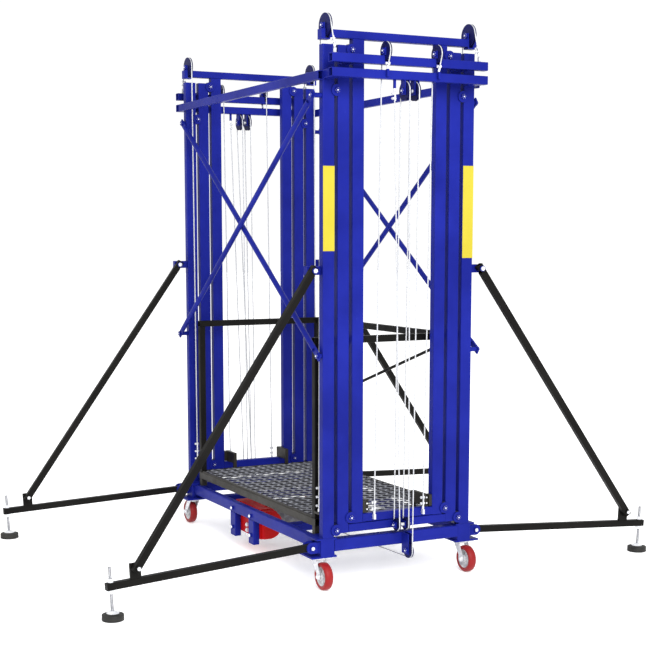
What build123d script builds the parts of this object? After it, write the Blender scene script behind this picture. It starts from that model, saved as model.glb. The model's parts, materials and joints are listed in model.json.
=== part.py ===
from build123d import *
import math
import os

# Driving sizes in millimetres, origin at the bottom centre, X from mast to mast, Y across the masts
mast_depth = 1300.0
mast_width = 612.0
post_w = 45.0
post_d = 30.0
post_wall = 2.0
post_gap = 13.0
mast_h = 1715.0
stage_step = 20.0

# Base frame
base_h = 64.0
rail = 44.0
side_rail = 26.0
rail_wall = 3.0
corner_turn = 1.5
block_x = 70.0
block_y = 56.0
block_over = 8.0
plate_t = 6.0
top_plate_x = 90.0
top_plate_out = 24.0
top_plate_in = 56.0
foot_plate = 100.0

# Casters
caster_in = 45.0
caster_side = 6.0
caster_room = 16.0
caster_trail = 40.0
wheel_r = 50.0
wheel_w = 32.0
wheel_gap = 2.5
fork_t = 3.0
axle_r = 6.0
caster_plate_t = 4.0
crown_t = 6.6
crown_r = 26.0

# Fits and clearances
run_fit = 0.06
bolt_clear = 0.2
slide_clear = 0.3
face_clear = 0.6

# Crossbars of the masts
bar = 30.0
bar_wall = 2.5
bar_stand = 48.0
bar_over = 4.0
bar1_drop = 115.0
bar_space = 18.0
bar3_rise = 22.0
bar3_h = 28.0
low_bar_gap = 2.0

# Guides between the stages
guide_r = 20.0
guide_t = 4.0
guide_stand = 1.6
guide_bolt_r = 4.0
guide_head_r = 8.0
guide_head_h = 6.0
shoe_len = 40.0
shoe_inset = 2.0
guide12_drop = 37.0
guide12_up = 13.0
guide23_drop = 15.0
guide23_up = 22.0

# Ropes and sheaves
rope_r = 2.5
rope_gap = 0.3
sheave_w = 11.0
sheave_lip = 2.0
cheek_in = 6.5
cheek_t = 3.0
axle_head_r = 9.0
axle_head_h = 5.5
end_sheave_in = 18.0
end_sheave_rise = 41.0
end_rope_r = 39.5
end_cheek_t = 4.0
end_cheek_in = 8.0
end_floor_drop = 6.0
end_block_over = 5.0
end_lug_w = 24.0
end_lean = 12.0
mid_sheave_in = 43.0
mid_rope_r = 30.0
mid_rope_gap = 3.5
mid_lug_half = 12.0
mid_lug_up = 11.0
lift_eye_out = 6.0
lift_eye_t = 12.0
mid_sheave_rise = 15.0
top_pair_y = 19.0
top_rope_r = 31.0
top_pair_drop = 35.0
low_rope_r = 20.0
low_pair_x = 25.0
base_sheave_y = 26.0
base_rope_r = 26.0
base_sheave_x = 34.0
base_sheave_drop = 62.0
dead_end_y = -62.0
dead_end_drop = 28.0

# Ties and braces between the masts
tie_w = 20.0
tie_h = 30.0
tie_drop = 4.0
tie_over = 2.0
brace_r = 10.0
brace_wall = 2.0
brace_drop = 170.0
brace_rise = 655.0
brace_off = 11.0
brace_step = 21.5
brace_back_drop = 15.0
tongue_w = 24.0
tongue_t = 6.0
tongue_end = 15.0
bolt_r = 5.0
bolt_head_r = 8.5
bolt_head_h = 6.0

# Outriggers
arm_w = 25.0
arm_wall = 2.0
arm_shift = -13.0
arm_root_y = 39.0
arm_root_drop = 26.0
arm_splay = 3.8
arm_droop = 3.0
jack_end = 16.0
arm_back = 14.0
stub_in = 60.0
lug_back = 86.0
lug_w = 52.0
lug_len = 38.0
lug_t = 10.0
lug_top = 66.0
ear_t = 6.0
ear_r = 20.0
ear_pad_t = 6.0
ear_pad_over = 3.0
clevis_rise = 951.0
clevis_h = 30.0
clevis_out = 15.0
strut_end = 15.0
strut_ratio = -1.43
jack_u = 755.0
screw_r = 6.0
screw_top = 66.0
screw_low = 98.0
nut_r = 10.0
nut_h = 12.0
foot_r = 37.0
foot_rim = 20.0
foot_h = 30.0
foot_neck_r = 12.0

# Winch
drum_x = -70.0
drum_drop = 60.0
drum_r = 40.0
drum_flange_r = 52.0
drum_flange_t = 6.0
drum_gap = 4.0
drum_len = 303.0
shaft_r = 10.0
shaft_in = 28.0
leg_x = 50.0
leg_h = 96.0
leg1_x = -158.0
leg2_x = 23.0
leg_bolt_up = 17.0
leg_bolt_low = 35.0
cross_beam = 40.0
cross_beam_x = 315.0
cross_beam_h = 30.0
cross_beam_drop = 4.0
gear_w = 62.0
gear_below = 58.0
gear_above = 62.0
gear_bolt_x = 5.0
gear_bolt_low = 15.0
gear_bolt_step = 22.0
front_bolt_in = 8.0
motor_gap = 10.0
motor_front = 28.0
motor_len = 68.0
fan_inset = 4.0
fan_len = 23.0
bearing_t = 10.0
bearing_beam_w = 24.0
bearing_gap = 7.0
bearing_half = 40.0
bearing_low = 38.0

# Platform
deck_gap = 64.0
deck_in = 16.0
deck_rise = 30.0
deck_tube = 30.0
deck_wall = 2.0
mesh_t = 5.0
mesh_edge = 3.0
mesh_border = 10.0
mesh_short = 46.0
mesh_long = 74.0
mesh_open = 0.4
guard_tube = 25.0
guard_wall = 2.0
guard_h = 683.0
stay_r = 6.0
stay_end = 2.4
stay_rise = 307.0
stay_drop = 37.0
pg_arm_t = 14.0
pg_shoe_gap = 13.0
pg_rise = 54.0
pg_h = 45.0
pg_over = 5.0
pg_web = 10.0
rope_arm_t = 8.0
rope_arm_rise = 52.0
rope_arm_in = 13.0
rope_arm_out = 7.0
rope_arm_over = 14.5

# Plain colour plates on the near mast
plate_inset = 0.5
colour_t = 1.0
left_colour_rise = 1018.0
left_colour_h = 290.0
right_colour_rise = 990.0
right_colour_h = 330.0

# Derived positions, from the ground up and from the mast faces inwards
foot_plate_z = 2 * wheel_r + caster_room
base_top = foot_plate_z + base_h
post_top = base_top + mast_h
out_x = mast_depth / 2
in_x = out_x - post_d
mid_x = out_x - post_d / 2
y1_out = mast_width / 2
y1_in = y1_out - post_w
y2_out = y1_in - post_gap
y2_in = y2_out - post_w
y3_out = y2_in - post_gap
y3_in = y3_out - post_w
gap12_y = y1_in - post_gap / 2
gap23_y = y2_in - post_gap / 2
rail_z = base_top - rail
rail_in_y = y1_out - side_rail
block_in_x = out_x - block_x
block_in_y = y1_out + block_over - block_y
block_out_y = y1_out + block_over
caster_x = out_x - caster_in
caster_y = y1_out - caster_side
post_foot_z = base_top + plate_t
stage2_z = base_top + stage_step
low_bar3_z = stage2_z + bar + low_bar_gap
bar_in_x = out_x + bar_stand
bar_out_x = bar_in_x + bar
bar_mid_x = bar_in_x + bar / 2
bar_y = y1_out + bar_over
bar1_z = post_top - bar1_drop
bar2_z = bar1_z + bar + bar_space
bar3_z = post_top + bar3_rise
guide12_top_z = bar1_z - guide12_drop
guide12_low_z = stage2_z + guide12_up
guide23_top_z = post_top - guide23_drop
guide23_low_z = low_bar3_z + guide23_up
end_sheave_y = y1_out - end_sheave_in
end_sheave_z = bar3_z + end_sheave_rise
mid_sheave_x = bar_in_x - mid_rope_gap + mid_rope_r
mid_sheave_y = y3_in - mid_sheave_in
mid_sheave_z = bar2_z + bar + mid_sheave_rise
top_pair_z = bar1_z - top_pair_drop
dead_end_z = bar1_z - dead_end_drop
low_sheave_x = out_x + low_pair_x
low_sheave_z = stage2_z + bar / 2
hub_x = out_x + base_sheave_x
base_sheave_z = base_top - base_sheave_drop
tie_z = bar1_z - tie_drop
brace_top_z = post_top - brace_drop
brace_low_z = base_top + brace_rise
clevis_z = base_top + clevis_rise
arm_root_z = base_top - arm_root_drop
arm_len = jack_u + jack_end
lug_u = jack_u - lug_back
drum_z = base_top - drum_drop
leg_low_z = rail_z - leg_h
gear_y0 = -rail_in_y
gear_y1 = gear_y0 + gear_w
gear_z0 = drum_z - gear_below
gear_z1 = drum_z + gear_above
motor_y = gear_y0 + motor_front
motor_z = (gear_z0 + gear_z1) / 2
motor_r = (gear_z1 - gear_z0) / 2
drum_y0 = gear_y1 + drum_gap
drum_y1 = drum_y0 + drum_len
deck_x = in_x - deck_gap
deck_y = y1_out - deck_in
deck_z = base_top + deck_rise
guard_top = deck_z + guard_h
stay_low_z = deck_z + stay_rise
stay_top_z = guard_top - stay_drop
pg_z0 = deck_z + pg_rise
pg_z1 = pg_z0 + pg_h
pg_reach = mid_x + pg_over
end_fall_x = mid_x - end_rope_r
anchor_x = end_fall_x - end_lean
lift_eye_x = out_x + lift_eye_out
lift_tail_x = bar_out_x + lift_eye_out
rope_arm_z = deck_z + rope_arm_rise
rope_arm_y0 = end_sheave_y - rope_arm_in
rope_arm_y1 = end_sheave_y + rope_arm_out
unit = ((1, 0, 0), (0, 1, 0), (0, 0, 1))
nodes = {}


def add(name, *shapes):
    group = nodes.setdefault(name, [])
    for shape in shapes:
        group.extend(shape.solids())


def block(x, y, z):
    box = Box(x[1] - x[0], y[1] - y[0], z[1] - z[0])
    return Pos((x[0] + x[1]) / 2, (y[0] + y[1]) / 2, (z[0] + z[1]) / 2) * box


def pair(sign, a, b):
    return (min(sign * a, sign * b), max(sign * a, sign * b))


def rounded(spans, along, inset, radius, low, high):
    j = (along + 1) % 3
    k = (along + 2) % 3
    centre = [(r[0] + r[1]) / 2 for r in spans]
    centre[along] = low
    plane = Plane(origin=tuple(centre), x_dir=unit[j], z_dir=unit[along])
    width = spans[j][1] - spans[j][0] - 2 * inset
    height = spans[k][1] - spans[k][0] - 2 * inset
    return extrude(plane * RectangleRounded(width, height, radius), high - low)


def tube(x, y, z, along, wall, cap=0.0):
    spans = (x, y, z)
    low, high = spans[along]
    outer = rounded(spans, along, 0, corner_turn * wall, low, high)
    core_top = high - cap if cap else high + 1
    return outer - rounded(spans, along, wall, (corner_turn - 1) * wall, low - 1, core_top)


def rod(p, q, r):
    v = Vector(*q) - Vector(*p)
    return Part(Solid.make_cylinder(r, v.length, Plane(origin=p, z_dir=v)).wrapped)


def rope_arc(x, y, z, radius, start, turn):
    a = math.radians(start)
    side = 1 if turn > 0 else -1
    at = (x + radius * math.cos(a), y, z + radius * math.sin(a))
    across = (-side * math.sin(a), 0, side * math.cos(a))
    ring = Plane(origin=at, x_dir=(0, 1, 0), z_dir=across) * Circle(rope_r)
    return revolve(ring, Axis((x, y, z), (0, -side, 0)), abs(turn))


def run_off(x, y, z, radius, end, side):
    reach = math.hypot(end[0] - x, end[1] - z)
    a = math.atan2(end[1] - z, end[0] - x) + side * math.acos(radius / reach)
    return math.degrees(a), (x + radius * math.cos(a), y, z + radius * math.sin(a))


def rope_over(x, y, z, radius, low_end, tail_end):
    low_a, meet = run_off(x, y, z, radius, low_end, -1)
    tail_a, leave = run_off(x, y, z, radius, tail_end, 1)
    inner = rod((low_end[0], y, low_end[1]), meet, rope_r)
    over = rope_arc(x, y, z, radius, low_a, tail_a - low_a - 360)
    outer = rod(leave, (tail_end[0], y, tail_end[1]), rope_r)
    return inner + over + outer


def sheave(x, y, z, rope_radius):
    rim = rope_radius + sheave_lip
    floor = rope_radius - rope_r - rope_gap
    h = sheave_w / 2
    bore = axle_r + run_fit
    pts = [(bore, -h), (rim, -h), (rim, -h + 1.3), (floor, -rope_r - 0.4)]
    pts += [(floor, rope_r + 0.4), (rim, h - 1.3), (rim, h), (bore, h)]
    face = make_face(Polyline(*pts, close=True))
    return Pos(x, y, z) * revolve(face, Axis.Y, 360)


def axle(x, y0, y1, z):
    shank = rod((x, y0 - 1, z), (x, y1 + 1, z), axle_r)
    head = rod((x, y0 - axle_head_h, z), (x, y0, z), axle_head_r)
    nut = rod((x, y1, z), (x, y1 + axle_head_h, z), axle_head_r)
    return shank + head + nut


def cheek(x, y, z, x0, x1, z0, z1):
    plate = block((x0, x1), y, (z0, z1))
    return plate - rod((x, y[0] - 1, z), (x, y[1] + 1, z), axle_r + bolt_clear)


def guide(sy, y_gap, z, owner):
    hole = rod((in_x - 20, sy * y_gap, z), (out_x + 20, sy * y_gap, z), guide_bolt_r + bolt_clear)
    x_out = out_x + guide_stand
    x_in = in_x - guide_stand
    centre = sy * y_gap
    outer = rod((x_out, centre, z), (x_out + guide_t, centre, z), guide_r) - hole
    inner = rod((x_in - guide_t, centre, z), (x_in, centre, z), guide_r) - hole
    near_y = y_gap + owner * post_gap / 2
    pad_y = pair(sy, near_y, near_y + owner * 10)
    pad_out = block((out_x, x_out), pad_y, (z - 8, z + 8))
    pad_in = block((x_in, in_x), pad_y, (z - 8, z + 8))
    shoe_y = pair(sy, near_y, y_gap - owner * (post_gap / 2 - slide_clear))
    shoe_x = (in_x + shoe_inset, out_x - shoe_inset)
    shoe = block(shoe_x, shoe_y, (z - shoe_len / 2, z + shoe_len / 2)) - hole
    x_head = x_out + guide_t
    x_nut = x_in - guide_t
    bolt = rod((x_nut - 1, centre, z), (x_head + 1, centre, z), guide_bolt_r)
    bolt += rod((x_head, centre, z), (x_head + guide_head_h, centre, z), guide_head_r)
    bolt += rod((x_nut - guide_head_h, centre, z), (x_nut, centre, z), guide_head_r)
    return [outer, inner, pad_out, pad_in], [shoe, bolt]


def front_hole(at, depth):
    return rod(at, (at[0], at[1] + depth, at[2]), guide_bolt_r + bolt_clear)


def front_bolt(at):
    bolt = rod(at, (at[0], at[1] + front_bolt_in, at[2]), guide_bolt_r)
    return bolt + rod((at[0], at[1] - guide_head_h, at[2]), at, guide_head_r)


def far_side(shapes):
    return [mirror(s, about=Plane.YZ) for s in shapes]


def add_mast(near_name, far_name, shapes):
    add(near_name, *shapes)
    add(far_name, *far_side(shapes))


# Base rails and corner blocks
for sy in (1, -1):
    rail_y = pair(sy, rail_in_y, y1_out)
    long_rail = tube((-block_in_x, block_in_x), rail_y, (rail_z, base_top), 0, rail_wall)
    if sy < 0:
        for cx in (leg1_x, leg2_x):
            long_rail -= front_hole((cx, -y1_out, rail_z + leg_bolt_up), rail_wall + 1)
    add("base_rails", long_rail)
cross = tube((out_x - rail, out_x), (-block_in_y, block_in_y), (rail_z, base_top), 1, rail_wall)
add_mast("base_rails", "base_rails", [cross])
for sy in (1, -1):
    by = pair(sy, block_in_y, block_out_y)
    core = tube((block_in_x, out_x), by, (foot_plate_z + plate_t, base_top), 2, rail_wall)
    ty = pair(sy, y1_out - top_plate_in, y1_out + top_plate_out)
    lid = block((out_x - top_plate_x, out_x), ty, (base_top, post_foot_z))
    fy = pair(sy, caster_y - foot_plate / 2, caster_y + foot_plate / 2)
    foot = block((out_x - foot_plate, out_x), fy, (foot_plate_z, foot_plate_z + plate_t))
    add_mast("corner_blocks", "corner_blocks", [core, lid, foot])

# Casters: fixed plate and king pin, fork, wheel
pin_low = foot_plate_z - caster_plate_t - crown_t - slide_clear
crown_z = (pin_low, foot_plate_z - caster_plate_t - slide_clear)
half_fork = wheel_w / 2 + wheel_gap
wheel_pts = [(axle_r + run_fit, -wheel_w / 2), (14, -wheel_w / 2), (14, 3 - wheel_w / 2)]
wheel_pts += [(wheel_r - 16, 3 - wheel_w / 2), (wheel_r - 14, -wheel_w / 2), (wheel_r - 5, -wheel_w / 2)]
wheel_pts += [(wheel_r, 5 - wheel_w / 2), (wheel_r, wheel_w / 2 - 5), (wheel_r - 5, wheel_w / 2)]
wheel_pts += [(wheel_r - 14, wheel_w / 2), (wheel_r - 16, wheel_w / 2 - 3), (14, wheel_w / 2 - 3)]
wheel_pts += [(14, wheel_w / 2), (axle_r + run_fit, wheel_w / 2)]
wheel = revolve(make_face(Polyline(*wheel_pts, close=True)), Axis.Y, 360)
for sx in (1, -1):
    for sy in (1, -1):
        tag = ("n" if sx > 0 else "f") + ("r" if sy > 0 else "l")
        cx = sx * caster_x
        cy = sy * caster_y
        plate_z = (foot_plate_z - caster_plate_t, foot_plate_z)
        seat = block((cx - 40, cx + 40), (cy - 32, cy + 32), plate_z)
        pin = rod((cx, cy, pin_low - 1), (cx, cy, plate_z[0] + 1), axle_r)
        pin += rod((cx, cy, pin_low - 5), (cx, cy, pin_low - slide_clear), axle_head_r)
        add("base_fittings", seat + pin)
        crown = rod((cx, cy, crown_z[0]), (cx, cy, crown_z[1]), crown_r)
        crown -= rod((cx, cy, crown_z[0] - 1), (cx, cy, crown_z[1] + 1), axle_r + run_fit)
        t = caster_trail
        top_z = crown_z[0] + 2
        leg_pts = [(-16, top_z), (20, top_z), (t + 11, wheel_r + 2), (t + 8, wheel_r - 9)]
        leg_pts += [(t, wheel_r - 11.5), (t - 8, wheel_r - 9), (t - 13, wheel_r + 5)]
        leg_face = make_face(Polyline(*[(sx * a, b) for a, b in leg_pts], close=True))
        fork = crown
        for side in (1, -1):
            y_leg = cy + side * (half_fork + fork_t / 2)
            plane = Plane(origin=(cx, y_leg, 0), x_dir=(1, 0, 0), z_dir=(0, -1, 0))
            fork += extrude(plane * leg_face, fork_t / 2, both=True)
        wx = cx + sx * t
        y_end = half_fork + fork_t
        fork += rod((wx, cy - y_end - 1, wheel_r), (wx, cy + y_end + 1, wheel_r), axle_r)
        fork += rod((wx, cy - y_end - 5, wheel_r), (wx, cy - y_end, wheel_r), axle_head_r)
        fork += rod((wx, cy + y_end, wheel_r), (wx, cy + y_end + 5, wheel_r), axle_head_r)
        add("caster_fork_" + tag, fork)
        add("caster_wheel_" + tag, Pos(wx, cy, wheel_r) * wheel)

# Fixed stage: posts, crossbar with spacers, sheave cheeks and rope anchors
posts = []
bars = [tube((bar_in_x, bar_out_x), (-bar_y, bar_y), (bar1_z, bar1_z + bar), 1, bar_wall)]
plates = []
loose = []
for sy in (1, -1):
    post1_y = pair(sy, y1_in, y1_out)
    posts.append(tube((in_x, out_x), post1_y, (post_foot_z, post_top), 2, post_wall, post_wall))
    bars.append(tube((out_x, bar_in_x), pair(sy, y1_in, y1_out), (bar1_z, bar1_z + bar), 0, bar_wall))
    eye_y = (sy * mid_sheave_y - 4, sy * mid_sheave_y + 4)
    eye_x = (bar_out_x, bar_out_x + lift_eye_t)
    bars.append(block(eye_x, eye_y, (bar1_z + 8, bar1_z + bar + 2)))
    for e in (-1, 1):
        face_y = sy * top_pair_y + e * cheek_in
        cheek_y = (min(face_y, face_y + e * cheek_t), max(face_y, face_y + e * cheek_t))
        bars.append(cheek(bar_mid_x, cheek_y, top_pair_z, bar_in_x, bar_out_x, top_pair_z - 14, bar1_z))
    g_plates, g_loose = guide(sy, gap12_y, guide12_top_z, 1)
    plates += g_plates
    loose += g_loose
bars.append(block((bar_mid_x - 4, bar_mid_x + 4), (dead_end_y - 4, dead_end_y + 4), (dead_end_z, bar1_z)))
pair_out = top_pair_y + cheek_in + cheek_t
loose.append(axle(bar_mid_x, -pair_out, pair_out, top_pair_z))
add_mast("stage1_posts", "stage1_posts", posts + plates)
add_mast("stage1_bars", "stage1_bars", bars)

# Bracket and axle of the base sheave
brackets = []
for e in (-1, 1):
    face_y = base_sheave_y + e * cheek_in
    cheek_y = (min(face_y, face_y + e * cheek_t), max(face_y, face_y + e * cheek_t))
    brackets.append(cheek(hub_x, cheek_y, base_sheave_z, out_x, hub_x + 12, base_sheave_z - 14, base_top))
base_out = cheek_in + cheek_t
loose.append(axle(hub_x, base_sheave_y - base_out, base_sheave_y + base_out, base_sheave_z))
add_mast("base_rails", "base_rails", brackets)
add_mast("base_fittings", "base_fittings", loose)

# Second stage
frame2 = [tube((in_x, out_x), (-y2_in, y2_in), (stage2_z, stage2_z + bar), 1, bar_wall)]
top_bar2 = tube((bar_in_x, bar_out_x), (-bar_y, bar_y), (bar2_z, bar2_z + bar), 1, bar_wall)
fit2 = []
notch_z = mid_sheave_z - mid_rope_r - sheave_lip - 2
for sy in (1, -1):
    post2_y = pair(sy, y2_in, y2_out)
    frame2.append(tube((in_x, out_x), post2_y, (stage2_z, post_top), 2, post_wall, post_wall))
    frame2.append(tube((out_x, bar_in_x), post2_y, (bar2_z, bar2_z + bar), 0, bar_wall))
    notch_y = (sy * mid_sheave_y - cheek_in, sy * mid_sheave_y + cheek_in)
    top_bar2 -= block((bar_in_x - 1, bar_out_x + 1), notch_y, (notch_z, bar2_z + bar + 1))
    for e in (-1, 1):
        face_y = sy * mid_sheave_y + e * cheek_in
        cheek_y = (min(face_y, face_y + e * cheek_t), max(face_y, face_y + e * cheek_t))
        lug_x = (mid_sheave_x - mid_lug_half, mid_sheave_x + mid_lug_half)
        lug_z = (bar2_z + bar, mid_sheave_z + mid_lug_up)
        frame2.append(cheek(mid_sheave_x, cheek_y, mid_sheave_z, lug_x[0], lug_x[1], lug_z[0], lug_z[1]))
        low_y = sy * top_pair_y + e * cheek_in
        low_range = (min(low_y, low_y + e * cheek_t), max(low_y, low_y + e * cheek_t))
        low_z = (low_sheave_z - 12, low_sheave_z + 12)
        low_x1 = low_sheave_x + 10
        frame2.append(cheek(low_sheave_x, low_range, low_sheave_z, out_x, low_x1, low_z[0], low_z[1]))
    mid_out = cheek_in + cheek_t
    fit2.append(axle(mid_sheave_x, sy * mid_sheave_y - mid_out, sy * mid_sheave_y + mid_out, mid_sheave_z))
    eye_y = (sy * end_sheave_y - 4, sy * end_sheave_y + 4)
    fit2.append(block((bar_mid_x - 14, bar_mid_x - 6), eye_y, (bar2_z + bar, bar2_z + bar + 18)))
    g_plates, g_loose = guide(sy, gap12_y, guide12_low_z, -1)
    frame2 += g_plates
    fit2 += g_loose
    g_plates, g_loose = guide(sy, gap23_y, guide23_top_z, 1)
    frame2 += g_plates
    fit2 += g_loose
frame2.append(top_bar2)
fit2.append(axle(low_sheave_x, -pair_out, pair_out, low_sheave_z))
add_mast("stage2_near_frame", "stage2_far_frame", frame2)
add_mast("stage2_near_fittings", "stage2_far_fittings", fit2)

# Third stage
bar3_end = end_sheave_y - end_cheek_in - end_cheek_t
frame3 = [tube((in_x, out_x), (-y3_in, y3_in), (low_bar3_z, low_bar3_z + bar), 1, bar_wall)]
frame3.append(tube((in_x, out_x), (-bar3_end, bar3_end), (bar3_z, bar3_z + bar3_h), 1, bar_wall))
fit3 = []
for sy in (1, -1):
    post3_y = pair(sy, y3_in, y3_out)
    frame3.append(tube((in_x, out_x), post3_y, (low_bar3_z, bar3_z), 2, post_wall, post_wall))
    floor_z = bar3_z - end_floor_drop
    bar3_top = bar3_z + bar3_h
    lug_x = (mid_x - end_lug_w / 2, mid_x + end_lug_w / 2)
    lug_z = (bar3_top, end_sheave_z + axle_head_r)
    for e in (-1, 1):
        face_y = end_sheave_y + e * end_cheek_in
        cheek_y = pair(sy, face_y, face_y + e * end_cheek_t)
        frame3.append(cheek(mid_x, cheek_y, end_sheave_z, lug_x[0], lug_x[1], lug_z[0], lug_z[1]))
    wall_y = pair(sy, bar3_end, end_sheave_y - end_cheek_in)
    frame3.append(block((in_x, out_x), wall_y, (floor_z, bar3_top)))
    floor_y = pair(sy, end_sheave_y - end_cheek_in, end_sheave_y + end_cheek_in)
    frame3.append(block((in_x, out_x), floor_y, (floor_z, floor_z + end_cheek_t)))
    end_y = pair(sy, end_sheave_y + end_cheek_in, y1_out + end_block_over)
    frame3.append(block((in_x, out_x), end_y, (floor_z, bar3_top)))
    end_out = end_cheek_in + end_cheek_t
    fit3.append(axle(mid_x, sy * end_sheave_y - end_out, sy * end_sheave_y + end_out, end_sheave_z))
    eye_y = (sy * mid_sheave_y - 4, sy * mid_sheave_y + 4)
    fit3.append(block((out_x, out_x + lift_eye_t), eye_y, (low_bar3_z + 8, low_bar3_z + bar - 4)))
    g_plates, g_loose = guide(sy, gap23_y, guide23_low_z, -1)
    frame3 += g_plates
    fit3 += g_loose
add_mast("stage3_near_frame", "stage3_far_frame", frame3)
add_mast("stage3_near_fittings", "stage3_far_fittings", fit3)

# Sheaves, one node for each axle line
ends = [sheave(mid_x, sy * end_sheave_y, end_sheave_z, end_rope_r) for sy in (1, -1)]
mids = [sheave(mid_sheave_x, sy * mid_sheave_y, mid_sheave_z, mid_rope_r) for sy in (1, -1)]
tops = [sheave(bar_mid_x, sy * top_pair_y, top_pair_z, top_rope_r) for sy in (1, -1)]
lows = [sheave(low_sheave_x, sy * top_pair_y, low_sheave_z, low_rope_r) for sy in (1, -1)]
hub = [sheave(hub_x, base_sheave_y, base_sheave_z, base_rope_r)]
add_mast("end_sheaves_near", "end_sheaves_far", ends)
add_mast("middle_sheaves_near", "middle_sheaves_far", mids)
add_mast("hoist_top_sheaves_near", "hoist_top_sheaves_far", tops)
add_mast("hoist_low_sheaves_near", "hoist_low_sheaves_far", lows)
add_mast("base_sheave_near", "base_sheave_far", hub)

# Lift ropes: fixed crossbar, over the middle sheaves, down to the third stage
lift = []
lift_eye = (lift_eye_x, low_bar3_z + bar - 3.5)
lift_tail = (lift_tail_x, bar1_z + bar + 3.5)
for sy in (1, -1):
    y = sy * mid_sheave_y
    lift.append(rope_over(mid_sheave_x, y, mid_sheave_z, mid_rope_r, lift_eye, lift_tail))
add_mast("lift_ropes_near", "lift_ropes_far", lift)

# Platform ropes: second-stage crossbar, over the end sheaves, down to the platform
lift_p = []
anchor = (anchor_x, rope_arm_z + rope_arm_t + 0.5)
tail = (bar_mid_x - 10, bar2_z + bar + 20)
for sy in (1, -1):
    y = sy * end_sheave_y
    lift_p.append(rope_over(mid_x, y, end_sheave_z, end_rope_r, anchor, tail))
add_mast("platform_ropes_near", "platform_ropes_far", lift_p)


# Hoist ropes: drum, base sheave, then four falls between fixed crossbar and second stage
def fall(p, q):
    v = Vector(*q) - Vector(*p)
    d = v.normalized() * 0.4
    a = Vector(*p) + d
    b = Vector(*q) - d
    return rod((a.X, a.Y, a.Z), (b.X, b.Y, b.Z), rope_r)


y2 = top_pair_y
t_in = bar_mid_x - top_rope_r
t_out = bar_mid_x + top_rope_r
l_in = low_sheave_x - low_rope_r
l_out = low_sheave_x + low_rope_r
hoist = [fall((hub_x + base_rope_r, base_sheave_y, base_sheave_z), (t_out, y2, top_pair_z))]
hoist.append(rope_arc(hub_x, base_sheave_y, base_sheave_z, base_rope_r, 270, 90))
hoist.append(rope_arc(bar_mid_x, y2, top_pair_z, top_rope_r, 0, 180))
hoist.append(rope_arc(bar_mid_x, -y2, top_pair_z, top_rope_r, 0, 180))
hoist.append(rope_arc(low_sheave_x, y2, low_sheave_z, low_rope_r, 180, 180))
hoist.append(rope_arc(low_sheave_x, -y2, low_sheave_z, low_rope_r, 180, 180))
hoist.append(fall((t_in, y2, top_pair_z), (l_in, y2, low_sheave_z)))
hoist.append(fall((l_out, y2, low_sheave_z), (t_out, -y2, top_pair_z)))
hoist.append(fall((t_in, -y2, top_pair_z), (l_in, -y2, low_sheave_z)))
hoist.append(fall((l_out, -y2, low_sheave_z), (bar_mid_x, dead_end_y, dead_end_z - 0.2)))
add_mast("hoist_ropes", "hoist_ropes", hoist)
wind_r = drum_r + rope_r + rope_gap
low_z = base_sheave_z - base_rope_r
add("hoist_ropes", fall((drum_x, base_sheave_y, drum_z - wind_r), (hub_x, base_sheave_y, low_z)))
add("hoist_ropes", fall((drum_x, base_sheave_y + 24, drum_z + wind_r), (-hub_x, base_sheave_y, low_z)))

# Ties and crossed braces between the masts
for sy in (1, -1):
    tie_x = out_x + tie_over
    tie_y = pair(sy, y1_out, y1_out + tie_w)
    add("side_braces", tube((-tie_x, tie_x), tie_y, (tie_z, tie_z + tie_h), 0, post_wall))
    far_drop = brace_back_drop if sy > 0 else 0.0
    ends = [(brace_low_z, brace_top_z - far_drop), (brace_top_z, brace_low_z - far_drop)]
    if sy > 0:
        ends.reverse()
    for k, (near_z, far_z) in enumerate(ends):
        yc = y1_out + brace_off + k * brace_step
        rise = near_z - far_z
        length = math.hypot(2 * mid_x, rise)
        angle = -math.degrees(math.atan2(rise, 2 * mid_x))
        half = length / 2
        span = half - 35
        bar_tube = rod((-span, 0, 0), (span, 0, 0), brace_r)
        bar_tube -= rod((-span - 1, 0, 0), (span + 1, 0, 0), brace_r - brace_wall)
        for e in (-1, 1):
            tongue_x = pair(e, half - 45, half + tongue_end)
            tongue = block(tongue_x, (-tongue_t / 2, tongue_t / 2), (-tongue_w / 2, tongue_w / 2))
            tongue -= rod((e * half, -10, 0), (e * half, 10, 0), bolt_r + bolt_clear)
            bar_tube += tongue
        mid_z = (near_z + far_z) / 2
        add("side_braces", Pos(0, sy * yc, mid_z) * Rot(0, angle, 0) * bar_tube)
        for e, ez in ((-1, far_z), (1, near_z)):
            y_face = sy * y1_out
            y_in = sy * (yc - tongue_t / 2)
            y_top = sy * (yc + tongue_t / 2)
            y_head = sy * (yc + tongue_t / 2 + bolt_head_h)
            bush = rod((e * mid_x, y_face, ez), (e * mid_x, y_in, ez), bolt_head_r)
            bush -= rod((e * mid_x, y_face, ez), (e * mid_x, y_in, ez), bolt_r + bolt_clear)
            bolt = rod((e * mid_x, y_face, ez), (e * mid_x, y_top, ez), bolt_r)
            bolt += rod((e * mid_x, y_top, ez), (e * mid_x, y_head, ez), bolt_head_r)
            add("side_braces", bush)
            add("base_fittings", bolt)

# Outriggers, built pointing along +Y and then turned into place
half_arm = arm_w / 2
lap0 = half_arm + face_clear
lap1 = lap0 + arm_w
droop = math.radians(arm_droop)
lug_y = lug_u * math.cos(droop) + lug_w * math.sin(droop)
lug_z = lug_w * math.cos(droop) - lug_u * math.sin(droop)
rise_z = clevis_z - arm_root_z
strut_len = math.hypot(lug_y, rise_z - lug_z)
strut_a = math.atan2(lug_z - rise_z, lug_y)
turn = 1 + strut_ratio
slip = (-(-lug_z - turn * (rise_z - lug_z)), -(lug_y - turn * lug_y))
slot_a = math.degrees(math.atan2(slip[1], slip[0]) - strut_a)


def cross_pin(y, z, x0, x1, r):
    return rod((x0, y, z), (x1, y, z), r)


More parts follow.
